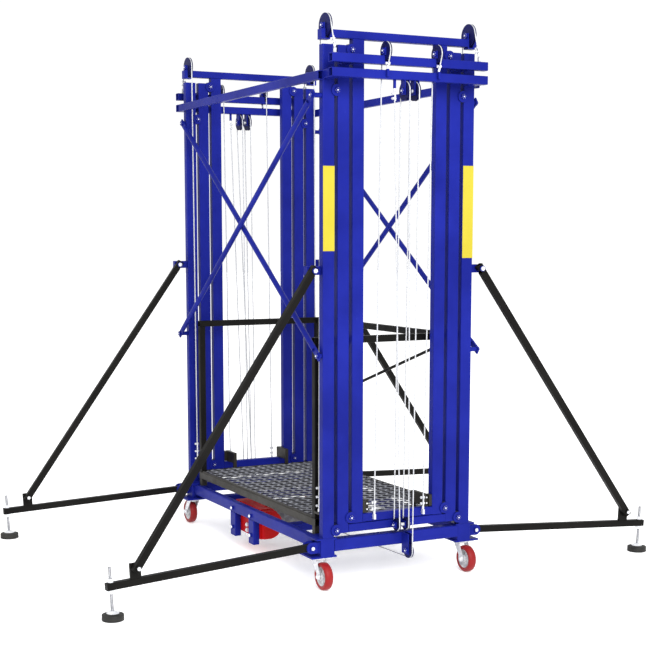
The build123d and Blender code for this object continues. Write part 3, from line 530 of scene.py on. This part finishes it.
def laid(path):
    step = rope_lay / rope_sides
    fine = [path[0]]
    for a, b in zip(path, path[1:]):
        n = max(1, round((b - a).length / step))
        fine += [a.lerp(b, (k + 1) / n) for k in range(n)]
    return swept(fine, laid_ring, rope_sides)


def rope(paths, name):
    obj = mesh_object(name, *joined([laid(path) for path in paths]), wire, 80.0)
    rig.slot(obj, "wire_rope")
    return obj


def bend(centre, radius, start, turn):
    """Points of the rope's turn round a sheave, angles in degrees from outward (away from the lift) to up."""
    x, y, z, side = centre
    n = max(6, round(abs(turn) / 7.5))
    out = []
    for k in range(n + 1):
        a = math.radians(start + turn * k / n)
        out.append(Vector((side * (x + radius * math.cos(a)), y, z + radius * math.sin(a))))
    return out


def run_off(x, z, radius, end, hand):
    """Angle at which a straight rope to that end leaves the sheave."""
    reach = math.hypot(end[0] - x, end[1] - z)
    return math.degrees(math.atan2(end[1] - z, end[0] - x) + hand * math.acos(radius / reach))


def sheave_line(node):
    """Axle place, rope radius and rope row of a sheave group of the near mast."""
    low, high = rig.box(node)
    x = (low.x + high.x) / 2
    z = (low.z + high.z) / 2
    return x, z, (high.z - low.z) / 2 - sheave_lip, high.y - sheave_w / 2


end_x, end_z, end_r, end_y = sheave_line("end_sheaves_near")
mid_x, mid_z, mid_r, mid_y = sheave_line("middle_sheaves_near")
top_x, top_z, top_r, top_y = sheave_line("hoist_top_sheaves_near")
low_x, low_z, low_r, low_y = sheave_line("hoist_low_sheaves_near")
hub_x, hub_z, hub_r, hub_y = sheave_line("base_sheave_near")
# Rope ends of the near mast as (x, z), and the dead end as (x, y, z)
lift_eye = (0.656, 0.2585)
lift_tail = (0.734, 1.8135)
anchor = (0.5835, 0.2705)
tail_end = (0.703, 1.878)
dead_end = (0.713, -0.062, 1.752)
drum_x, _, drum_z = joints["drum_turn"]["pos_m"]
wound_r = 0.0428
far_lead_y = 0.05
up = (0, 0, 1)
saddle_out = 0.0043
saddle_half = 0.004
saddle_w = 0.017
saddle_t = 0.004
bow_r = 0.0052
bow_leg = 0.0095
clip_nut_out = 0.0063
thin_wire = 0.0017
tail_off = 0.0034


def clip(at, along, across):
    """A rope clip: saddle, bow and two nuts."""
    at = Vector(at)
    along = Vector(along).normalized()
    across = Vector(across).normalized()
    out = along.cross(across)
    saddle = at + out * saddle_out
    shapes = [beam(saddle - along * saddle_half, saddle + along * saddle_half, across, saddle_w, saddle_t)]
    bow = [at + across * bow_r + out * bow_leg]
    for k in range(9):
        a = math.pi * k / 8
        bow.append(at + around(across, -out, bow_r, a))
    bow.append(at - across * bow_r + out * bow_leg)
    shapes.append(round_bar(bow, thin_wire))
    for s in (-1, 1):
        seat = at + across * (s * bow_r) + out * clip_nut_out
        shapes.append(lathe([(0.0036, 0.0), (0.0036, 0.0024), (0.003, 0.003)], seat, out, 6))
    return shapes


def rope_end(name, body, at, along, across, clips, first, step):
    """The fixed end of a rope: pressed ferrule, doubled-back tail and clips."""
    at = Vector(at)
    along = Vector(along).normalized()
    out = along.cross(Vector(across).normalized())
    sleeve = [(0.0034, 0.0), (0.0042, 0.001), (0.0042, 0.011), (0.0034, 0.012)]
    shapes = [lathe(sleeve, at, along, 14)]
    reach = first + step * (clips - 1) + 0.008
    tail = [at + along * 0.004 - out * tail_off, at + along * reach - out * tail_off]
    shapes.append(round_bar(tail, thin_wire))
    for k in range(clips):
        shapes += clip(at + along * (first + step * k), along, across)
    return piece(name, body, bright_zinc, "galvanised", shapes)


def rope_ends(name, body, ends, towards, across, clips, first, step):
    """The fixed ends of a pair of ropes, right and left."""
    for label, end, target in zip("rl", ends, towards):
        rope_end(name + "_" + label, body, end, target - end, across, clips, first, step)


for mast, side in masts:
    def at(x, y, z):
        return Vector((side * x, y, z))

    stage2 = "stage2_" + mast
    stage3 = "stage3_" + mast
    lift_joint = "mast_lift" if mast == "near" else "stage2_far_lift"

    # Hoist rope: lead from the drum, base sheave, riser and the turns over the fixed pair
    near_lead = Vector((drum_x, hub_y, drum_z - wound_r))
    far_lead = Vector((drum_x, far_lead_y, drum_z + wound_r))
    first = [near_lead if mast == "near" else far_lead] + bend((hub_x, hub_y, hub_z, side), hub_r, -90, 90)
    first += bend((top_x, top_y, top_z, side), top_r, 0, 180)
    second = bend((top_x, -top_y, top_z, side), top_r, 0, 180)
    fixed = rope([first, second], "hoist_rope_fixed_" + mast)
    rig.ride(fixed, "base")
    if mast == "near":
        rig.replaces(fixed, "hoist_ropes")
    inner = top_x - top_r
    outer = top_x + top_r
    falls = [[at(inner, top_y, top_z), at(low_x - low_r, low_y, low_z)]]
    falls.append([at(low_x + low_r, low_y, low_z), at(outer, -top_y, top_z)])
    falls.append([at(inner, -top_y, top_z), at(low_x - low_r, -low_y, low_z)])
    falls.append([at(low_x + low_r, -low_y, low_z), at(*dead_end)])
    moving = rope(falls, "hoist_rope_falls_" + mast)
    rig.ride(moving, "base")
    left = (top_z - low_z - lift_stroke) / (top_z - low_z)
    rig.squash(moving, lift_joint, up, (side * top_x, 0, top_z), left)
    turns = [bend((low_x, s * low_y, low_z, side), low_r, 180, 180) for s in (1, -1)]
    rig.ride(rope(turns, "hoist_rope_turns_" + mast), stage2)
    fall = at(low_x + low_r, -low_y, low_z) - at(*dead_end)
    rope_end("hoist_rope_end_" + mast, "base", at(*dead_end), fall, (side, 0, 0),
             clips=2, first=0.018, step=0.016)

    # Lift ropes: crossbar of the first stage, over the middle sheaves, down to the third stage
    low_a = run_off(mid_x, mid_z, mid_r, lift_eye, -1)
    tail_a = run_off(mid_x, mid_z, mid_r, lift_tail, 1)
    arcs = [bend((mid_x, s * mid_y, mid_z, side), mid_r, low_a, tail_a - low_a - 360) for s in (1, -1)]
    over = rope(arcs, "lift_rope_turns_" + mast)
    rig.ride(over, stage2)
    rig.replaces(over, "lift_ropes_" + mast)
    ends = [at(lift_eye[0], s * mid_y, lift_eye[1]) for s in (1, -1)]
    moving = rope([[arc[0], end] for arc, end in zip(arcs, ends)], "lift_rope_falls_" + mast)
    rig.ride(moving, stage2)
    left = (mid_z - lift_eye[1] - lift_stroke) / (mid_z - lift_eye[1])
    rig.squash(moving, "stage3_" + mast + "_lift", up, (side * mid_x, 0, mid_z), left)
    rope_ends("lift_rope_eye_" + mast, stage3, ends, [arc[0] for arc in arcs], (0, 1, 0),
              clips=2, first=0.02, step=0.022)
    ends = [at(lift_tail[0], s * mid_y, lift_tail[1]) for s in (1, -1)]
    moving = rope([[end, arc[-1]] for arc, end in zip(arcs, ends)], "lift_rope_tails_" + mast)
    leave = arcs[0][-1]
    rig.blend(moving, "base", stage2, at(lift_tail[0], 0, lift_tail[1]), (leave.x, 0, leave.z))
    rope_ends("lift_rope_tail_" + mast, "base", ends, [arc[-1] for arc in arcs], (0, side, 0),
              clips=1, first=0.017, step=0.014)

    # Platform ropes: crossbar of the second stage, over the end sheaves, down to the platform
    low_a = run_off(end_x, end_z, end_r, anchor, -1)
    tail_a = run_off(end_x, end_z, end_r, tail_end, 1)
    arcs = [bend((end_x, s * end_y, end_z, side), end_r, low_a, tail_a - low_a - 360) for s in (1, -1)]
    over = rope(arcs, "platform_rope_turns_" + mast)
    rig.ride(over, stage3)
    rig.replaces(over, "platform_ropes_" + mast)
    ends = [at(anchor[0], s * end_y, anchor[1]) for s in (1, -1)]
    moving = rope([[arc[0], end] for arc, end in zip(arcs, ends)], "platform_rope_falls_" + mast)
    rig.ride(moving, stage3)
    left = (end_z - anchor[1] - lift_stroke) / (end_z - anchor[1])
    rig.squash(moving, "platform_lift", up, (side * end_x, 0, end_z), left)
    rope_ends("platform_rope_anchor_" + mast, "platform", ends, [arc[0] for arc in arcs], (0, 1, 0),
              clips=3, first=0.022, step=0.032)
    ends = [at(tail_end[0], s * end_y, tail_end[1]) for s in (1, -1)]
    moving = rope([[end, arc[-1]] for arc, end in zip(arcs, ends)], "platform_rope_tails_" + mast)
    leave = arcs[0][-1]
    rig.blend(moving, stage2, stage3, at(tail_end[0], 0, tail_end[1]), (leave.x, 0, leave.z))
    rope_ends("platform_rope_tail_" + mast, stage2, ends, [arc[-1] for arc in arcs], (0, side, 0),
              clips=2, first=0.017, step=0.014)


# Rope wound on the drum, a few turns for each mast
wound_steps = 48
wound_pitch = 0.0053


def wound(start_y, start_angle, step, turns):
    steps = round(wound_steps * turns)
    path = []
    for k in range(steps + 1):
        a = math.radians(start_angle) - 2 * math.pi * k / wound_steps
        y = start_y + step * k / wound_steps
        path.append(Vector((drum_x + wound_r * math.cos(a), y, drum_z + wound_r * math.sin(a))))
    return path


near_turns = wound(hub_y, -100, -wound_pitch, 7.6)
far_turns = wound(far_lead_y, 80, wound_pitch, 5.6)
winding = rope([near_turns, far_turns], "drum_winding")
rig.ride(winding, "winch_drum")

# Expanded-metal deck: zigzag strands inside a border strip, clear of the posts and brackets
mesh_low, mesh_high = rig.box("deck_mesh")
long_way = 0.074
short_way = 0.046
strand_w = 0.0055
strand_t = 0.0020
knuckle = 0.012
border = 0.010
strand_tuck = 0.002
post_in = 0.529
post_side = 0.2625
web_side = (0.1155, 0.1345)


def strand(x_low, x_high, phase, reach):
    """One strand: flat knuckles joined by slanting legs, tilted as the metal is when it is pulled open."""
    path = []
    half_wave = long_way / 2
    steps = math.ceil(reach / half_wave) + 1
    for k in range(-steps, steps + 1):
        x = x_high if (k + phase) % 2 else x_low
        path.append((x, k * half_wave - knuckle / 2))
        path.append((x, k * half_wave + knuckle / 2))
    cut = []
    for (x0, y0), (x1, y1) in zip(path, path[1:]):
        if y1 <= -reach or y0 >= reach:
            continue
        for y in (max(y0, -reach), min(y1, reach)):
            x = x0 + (x1 - x0) * (y - y0) / (y1 - y0)
            if not cut or y > cut[-1][1] + 1e-6:
                cut.append((x, y))
    verts = []
    for x, y in cut:
        verts.append(Vector((x + strand_w / 2, y, mesh_low.z)))
        verts.append(Vector((x - strand_w / 2, y, mesh_high.z - strand_t)))
        verts.append(Vector((x - strand_w / 2, y, mesh_high.z)))
        verts.append(Vector((x + strand_w / 2, y, mesh_low.z + strand_t)))
    faces = [(3, 2, 1, 0)]
    rows = len(cut)
    for i in range(rows - 1):
        for k in range(4):
            m = (k + 1) % 4
            faces.append((4 * i + k, 4 * i + m, 4 * i + m + 4, 4 * i + k + 4))
    faces.append(tuple(4 * (rows - 1) + k for k in range(4)))
    return verts, faces


def flat_bar(x, y):
    z = (mesh_low.z + mesh_high.z) / 2
    middle_y = (y[0] + y[1]) / 2
    return beam((x[0], middle_y, z), (x[1], middle_y, z), (0, 1, 0), y[1] - y[0], mesh_high.z - mesh_low.z)


field = mesh_high.x - border
rows = round(2 * field / (short_way / 2))
pitch = 2 * field / rows
shapes = []
for row in range(rows):
    x0 = -field + row * pitch
    x1 = x0 + pitch
    beside_post = max(abs(x0), abs(x1)) + strand_w / 2 > post_in
    reach = post_side if beside_post else mesh_high.y - border + strand_tuck
    shapes.append(strand(x0, x1, row % 2, reach))
deck = piece("expanded_deck", "platform", mesh_black, "mesh_paint", shapes)
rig.replaces(deck, "deck_mesh")
shapes = []
for sy in (-1, 1):
    edge = sorted((sy * (mesh_high.y - border), sy * mesh_high.y))
    shapes.append(flat_bar((-post_in, post_in), edge))
    for sx in (-1, 1):
        x = sorted((sx * (mesh_high.x - border), sx * mesh_high.x))
        shapes.append(flat_bar(x, sorted((sy * web_side[1], sy * post_side))))
        shapes.append(flat_bar(x, sorted((sy * web_side[0], 0.0))))
piece("deck_border", "platform", deck_black, "mesh_paint", shapes)

# Bolt heads over the plain round ones: painted ones with a bare stud, plated nuts on a washer
shells = {}
cover = 0.00015
slot_of = {blue: "blue_paint", black: "black_paint", bright_zinc: "galvanised"}


def shell(body, mat, shape):
    shells.setdefault((body, mat), []).append(shape)


def hexagon(at, along, flat, low, high):
    corner = flat / math.cos(math.pi / 6)
    top = low + 0.82 * (high - low)
    return lathe([(corner, low), (corner, top), (0.9 * corner, high)], at, along, 6)


def stud(at, along, radius, low, high):
    return lathe([(radius, low), (radius, high - 0.0008), (0.7 * radius, high)], at, along, 14)


def painted_head(body, at, along, radius, height):
    tall = height + 0.0002
    shell(body, blue, hexagon(at, along, radius + cover, 0.0, tall))
    shell(body, bright_zinc, stud(at, along, 0.36 * radius, 0.5 * tall, tall + 0.0026))


def plated_head(body, at, along, radius, height, washer):
    flange = radius + cover
    rows = [(flange, 0.0), (flange, height + 0.0001), (0.85 * flange, height + 0.0004)]
    shell(body, washer, lathe(rows, at, along, 24))
    shell(body, bright_zinc, hexagon(at, along, 0.74 * radius, 0.5 * height, height + 0.0028))
    shell(body, bright_zinc, stud(at, along, 0.4 * radius, height, height + 0.005))


guide_rows = [("base", 0.2545, 1.743), ("stage2_", 0.2545, 0.213)]
guide_rows += [("stage2_", 0.1965, 1.880), ("stage3_", 0.1965, 0.254)]
guide_faces = (0.6556, 0.6144)
# Bolt heads as (radius, height)
guide_head = (0.008, 0.006)
axle_head = (0.009, 0.0055)
frame_head = (0.0085, 0.006)
wide_head = (0.010, 0.006)
bracket_head = (0.0042, 0.002)
fork_head = (0.009, 0.005)
pair_cheek = 0.0285
single_cheek = 0.0095
end_cheek = 0.012
post_middle = 0.635
bracket_bolt = (0.640, 0.125)
bracket_heights = (0.276, 0.297)
clevis_z = 1.131
ear_face = 0.0191
strut_face = 0.0384
clevis_back = 0.0125
lug_back = 0.0025
fork_face = 0.0215
leg_face = -0.306
leg_places = (-0.158, 0.023)
leg_heights = (0.075, 0.153)
gear_bolt = (-0.065, -0.280)
gear_heights = (0.077, 0.099)
brace_faces = (0.320, 0.3415)
brace_heights = (0.835, 1.725)
brace_back_drop = 0.015
for mast, sx in masts:
    for sy in (-1, 1):
        for body, y, z in guide_rows:
            owner = body if body == "base" else body + mast
            painted_head(owner, (sx * guide_faces[0], sy * y, z), (sx, 0, 0), *guide_head)
            painted_head(owner, (sx * guide_faces[1], sy * y, z), (-sx, 0, 0), *guide_head)
        painted_head("base", (sx * top_x, sy * pair_cheek, top_z), (0, sy, 0), *axle_head)
        painted_head("stage2_" + mast, (sx * low_x, sy * pair_cheek, low_z), (0, sy, 0), *axle_head)
        painted_head("base", (sx * hub_x, hub_y + sy * single_cheek, hub_z), (0, sy, 0), *axle_head)
        for e in (-1, 1):
            at = (sx * mid_x, sy * mid_y + e * single_cheek, mid_z)
            painted_head("stage2_" + mast, at, (0, e, 0), *axle_head)
            at = (sx * end_x, sy * end_y + e * end_cheek, end_z)
            painted_head("stage3_" + mast, at, (0, e, 0), *axle_head)
        far_drop = brace_back_drop if sx < 0 < sy else 0.0
        for k, face in enumerate(brace_faces):
            z = brace_heights[k if sx * sy < 0 else 1 - k] - far_drop
            painted_head("base", (sx * post_middle, sy * face, z), (0, sy, 0), *frame_head)
        for z in bracket_heights:
            at = (sx * bracket_bolt[0], sy * bracket_bolt[1], z)
            plated_head("platform", at, (sx, 0, 0), *bracket_head, black)
for tag, (sx, sy) in corners.items():
    fold = joints["outrigger_fold_" + tag]
    across = sy * Vector(fold["axis"])
    root = Vector(fold["pos_m"])
    clevis = Vector((root.x, root.y, clevis_z))
    lug = Vector(joints["strut_swing_" + tag]["pos_m"])
    arm = "outrigger_arm_" + tag
    plated_head("base", root + across * ear_face, across, *frame_head, blue)
    plated_head("base", root - across * ear_face, -across, *frame_head, blue)
    plated_head("base", clevis + across * strut_face, across, *wide_head, blue)
    plated_head("base", clevis - across * clevis_back, -across, *frame_head, blue)
    plated_head(arm, lug + across * strut_face, across, *frame_head, black)
    plated_head(arm, lug + across * lug_back, -across, *frame_head, black)
    roll = Vector(joints["caster_roll_" + tag]["pos_m"])
    for e in (-1, 1):
        at = roll + Vector((0, e * fork_face, 0))
        plated_head("caster_fork_" + tag, at, (0, e, 0), *fork_head, bright_zinc)
for x in leg_places:
    for z in leg_heights:
        plated_head("base", (x, leg_face, z), (0, -1, 0), *guide_head, blue)
for z in gear_heights:
    plated_head("base", (*gear_bolt, z), (0, -1, 0), *guide_head, bright_zinc)
for (body, mat), shapes in shells.items():
    piece("bolts_" + mat.name + "_" + body, body, mat, slot_of[mat], shapes)

# Caster wheels: rounded red tyre on a pale ribbed hub
tyre_rows = [(0.0345, -0.0135), (0.040, -0.0155), (0.0445, -0.0150), (0.0480, -0.0120), (0.0495, -0.0070)]
tyre_rows += [(0.0500, 0.0)] + [(r, -h) for r, h in reversed(tyre_rows)]
hub_rows = [(0.0063, -0.016), (0.0130, -0.016), (0.0140, -0.0150), (0.0140, -0.0070), (0.0280, -0.0060)]
hub_rows += [(0.0310, -0.0110), (0.0350, -0.0130)]
hub_rows += [(r, -h) for r, h in reversed(hub_rows)]
for tag in corners:
    body = "caster_wheel_" + tag
    roll = Vector(joints["caster_roll_" + tag]["pos_m"])
    tyre = piece("tyre_" + tag, body, wheel_red, "wheel_red", [lathe(tyre_rows, roll, (0, 1, 0), 64, True)])
    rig.replaces(tyre, "caster_wheel_" + tag)
    shapes = [lathe(hub_rows, roll, (0, 1, 0), 48, True)]
    for k in range(6):
        a = 2 * math.pi * k / 6
        spoke = Vector((math.cos(a), 0, math.sin(a)))
        shapes.append(beam(roll + spoke * 0.0135, roll + spoke * 0.0315, (0, 1, 0), 0.021, 0.0035))
    piece("hub_" + tag, body, hub_grey, "galvanised", shapes)


# Screw jacks: threaded screw, nut and rubber foot
def thread(at, along, low, high, crest, root, lead, sides):
    """A screw whose radius follows its helix."""
    along, first, other = side_axes(along)
    rings = round((high - low) / lead * 5)
    verts = []
    for i in range(rings + 1):
        t = low + (high - low) * i / rings
        for k in range(sides):
            share = k / sides
            wave = abs(((t / lead - share) % 1.0) * 2 - 1)
            radius = root + (crest - root) * wave
            a = 2 * math.pi * share
            verts.append(at + along * t + around(first, other, radius, a))
    faces = []
    for i in range(rings):
        for k in range(sides):
            m = (k + 1) % sides
            faces.append((i * sides + k, i * sides + m, (i + 1) * sides + m, (i + 1) * sides + k))
    faces.append(tuple(reversed(range(sides))))
    faces.append(tuple(rings * sides + k for k in range(sides)))
    return verts, faces


foot_rows = [(0.0355, 0.0), (0.0370, 0.0015), (0.0370, 0.0180), (0.0362, 0.0198), (0.0230, 0.0238)]
neck_rows = [(0.0215, 0.0232), (0.0215, 0.0246), (0.0165, 0.0262), (0.0125, 0.0298), (0.0105, 0.0312)]
nut_rows = [(0.0092, 0.0), (0.0100, 0.0008), (0.0100, 0.0112), (0.0092, 0.0120)]
low_nut_rows = [(0.0069, 0.0), (0.0108, 0.0), (0.0117, 0.0009), (0.0117, 0.0121), (0.0069, 0.0121)]
screw_ends = (0.0190, 0.1800)
crest_r = 0.0059
groove_r = 0.0050
thread_lead = 0.0035
nut_at = 0.1274
seat_at = 0.0900
for tag in corners:
    body = "outrigger_jack_" + tag
    low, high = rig.box(body)
    ground = Vector(((low.x + high.x) / 2, (low.y + high.y) / 2, 0.0))
    axis = Vector(joints["jack_screw_" + tag]["axis"]).normalized()
    shapes = [thread(ground, axis, *screw_ends, crest_r, groove_r, thread_lead, 20)]
    screw = piece("jack_screw_" + tag, body, screw_steel, "galvanised", shapes)
    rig.replaces(screw, body)
    shapes = [lathe(nut_rows, ground + axis * nut_at, axis, 6), lathe(neck_rows, ground, up, 40)]
    piece("jack_nut_" + tag, body, bright_zinc, "galvanised", shapes)
    piece("jack_foot_" + tag, body, foot_rubber, "black_paint", [lathe(foot_rows, ground, up, 48)])
    shapes = [lathe(low_nut_rows, ground + axis * seat_at, axis, 6, True)]
    piece("jack_seat_" + tag, "outrigger_arm_" + tag, bright_zinc, "galvanised", shapes)


# Weld beads where tubes stand on plates
def bead(corners_of, radius):
    path = []
    for a, b in zip(corners_of, corners_of[1:] + corners_of[:1]):
        a = Vector(a)
        b = Vector(b)
        n = max(2, round((b - a).length / 0.003))
        path += [a.lerp(b, k / n) for k in range(n)]
    path.append(path[0])

    def ring_at(point, across, other, travelled):
        ripple = radius * (0.9 + 0.1 * math.cos(2 * math.pi * travelled / 0.006))
        out = []
        for k in range(6):
            a = 2 * math.pi * k / 6
            out.append(point + around(across, other, ripple, a))
        return out

    return swept(path, ring_at, 6)


def outline(x, y, z):
    return [(x[0], y[0], z), (x[1], y[0], z), (x[1], y[1], z), (x[0], y[1], z)]


post_foot = ((0.620, 0.650), (0.261, 0.306), 0.1862)
guard_foot = ((0.531, 0.556), (0.265, 0.290), 0.2402)
post_bead = 0.0016
guard_bead = 0.0014


def foot_weld(foot, sx, sy, radius):
    """A bead round the foot of one tube; foot gives its x, its y and its height."""
    x = sorted(sx * v for v in foot[0])
    y = sorted(sy * v for v in foot[1])
    return bead(outline(x, y, foot[2]), radius)


post_welds = []
guard_welds = []
for sx in (-1, 1):
    for sy in (-1, 1):
        post_welds.append(foot_weld(post_foot, sx, sy, post_bead))
        guard_welds.append(foot_weld(guard_foot, sx, sy, guard_bead))
piece("post_welds", "base", blue, "blue_paint", post_welds)
piece("guard_welds", "platform", black, "black_paint", guard_welds)

# Winch motor: cooling ribs on the round back
rib_count = 9
rib_first = -60
rib_step = 15
rib_out = 0.0012
rib_inset = (0.006, 0.027)
rib_w = 0.0024
rib_h = 0.0044
motor_low, motor_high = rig.box("winch_motor")
motor_z = (motor_low.z + motor_high.z) / 2
motor_r = (motor_high.z - motor_low.z) / 2
motor_y = motor_high.y - motor_r
shapes = []
for k in range(rib_count):
    a = math.radians(rib_first + rib_step * k)
    out = Vector((0, math.cos(a), math.sin(a)))
    foot = Vector((0, motor_y, motor_z)) + out * (motor_r + rib_out)
    start = foot + Vector((motor_low.x + rib_inset[0], 0, 0))
    stop = foot + Vector((motor_high.x - rib_inset[1], 0, 0))
    shapes.append(beam(start, stop, (0, -math.sin(a), math.cos(a)), rib_w, rib_h))
piece("motor_ribs", "base", winch_red, "red_paint", shapes)

# Finishes of the CAD nodes
finishes = {
    "base_rails": blue, "corner_blocks": blue, "stage1_posts": blue, "stage1_bars": blue,
    "side_braces": blue, "outrigger_brackets": blue, "winch_frame": blue,
    "base_fittings": galvanised, "winch_gearbox": winch_red, "winch_motor": winch_red,
    "winch_drum": drum_steel, "colour_plates": yellow,
    "deck_frame": deck_black, "deck_mesh": mesh_black, "guard_rails": black, "platform_brackets": deck_black,
}
sheave_groups = ("end_sheaves_", "middle_sheaves_", "hoist_top_sheaves_", "hoist_low_sheaves_",
                 "base_sheave_")
for mast, _ in masts:
    for stage in ("stage2_", "stage3_"):
        finishes[stage + mast + "_frame"] = blue
        finishes[stage + mast + "_fittings"] = galvanised
    for group in sheave_groups:
        finishes[group + mast] = sheave_paint
for tag in corners:
    finishes["caster_fork_" + tag] = galvanised
    finishes["caster_wheel_" + tag] = wheel_red
    finishes["outrigger_arm_" + tag] = black
    finishes["outrigger_strut_" + tag] = black
    finishes["outrigger_jack_" + tag] = galvanised
for name, mat in finishes.items():
    for slot in nodes[name].material_slots:
        slot.material = mat


# Floor, light and camera
def floor_material():
    mat, tree, bsdf = shader("studio_floor")
    tone = noise(tree, place(tree), 0.6, 3.0)
    white = ramp(tree, tone, [(0.3, srgb(253, 253, 253)), (0.7, srgb(255, 255, 255))])
    tree.links.new(white, bsdf.inputs["Base Color"])
    bsdf.inputs["Roughness"].default_value = 0.8
    bsdf.inputs["Specular IOR Level"].default_value = 0.0
    bsdf.inputs["Emission Color"].default_value = (1.0, 1.0, 1.0, 1.0)
    bsdf.inputs["Emission Strength"].default_value = 0.28
    return mat


half = 40.0
floor_z = -0.0005
floor_verts = [(-half, -half, floor_z), (half, -half, floor_z), (half, half, floor_z), (-half, half, floor_z)]
floor = mesh_object("floor", floor_verts, [(0, 1, 2, 3)], floor_material())
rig.stage(floor)

world = bpy.data.worlds.new("studio")
scene.world = world
world.use_nodes = True
backdrop = world.node_tree.nodes["Background"]
backdrop.inputs["Color"].default_value = (1.0, 1.0, 1.0, 1.0)
backdrop.inputs["Strength"].default_value = 1.05


def area_light(name, place_at, look_at, size, watts):
    data = bpy.data.lights.new(name, "AREA")
    data.shape = "SQUARE"
    data.size = size
    data.energy = watts
    obj = bpy.data.objects.new(name, data)
    obj.location = place_at
    obj.rotation_euler = (Vector(look_at) - Vector(place_at)).to_track_quat("-Z", "Y").to_euler()
    scene.collection.objects.link(obj)


middle = (0.0, 0.0, 1.0)
area_light("key", (6.0, -1.0, 4.0), middle, 4.0, 450.0)
area_light("fill", (0.5, -5.0, 2.5), middle, 4.0, 40.0)

scene.view_settings.view_transform = "Standard"
camera_data = bpy.data.cameras.new("camera")
camera_data.sensor_width = 36.0
camera_data.lens = 74.42
camera_data.shift_x = 0.0294
camera_data.shift_y = 0.1283
camera = bpy.data.objects.new("camera", camera_data)
camera.location = (4.79713, -2.42665, 1.24497)
azimuth = math.radians(63.649)
elevation = math.radians(7.25)
roll_turn = math.radians(-0.107)
level = math.cos(elevation)
forward = Vector((-math.sin(azimuth) * level, math.cos(azimuth) * level, -math.sin(elevation)))
turned = forward.to_track_quat("-Z", "Y").to_matrix().to_4x4() @ Matrix.Rotation(roll_turn, 4, "Z")
camera.rotation_euler = turned.to_euler()
scene.collection.objects.link(camera)
scene.camera = camera

low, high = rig.bounds()
boxes = {"cad": [list(cad_low), list(cad_high)], "visual": [list(low), list(high)]}
with open("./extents.json", "w") as out:
    json.dump(boxes, out)
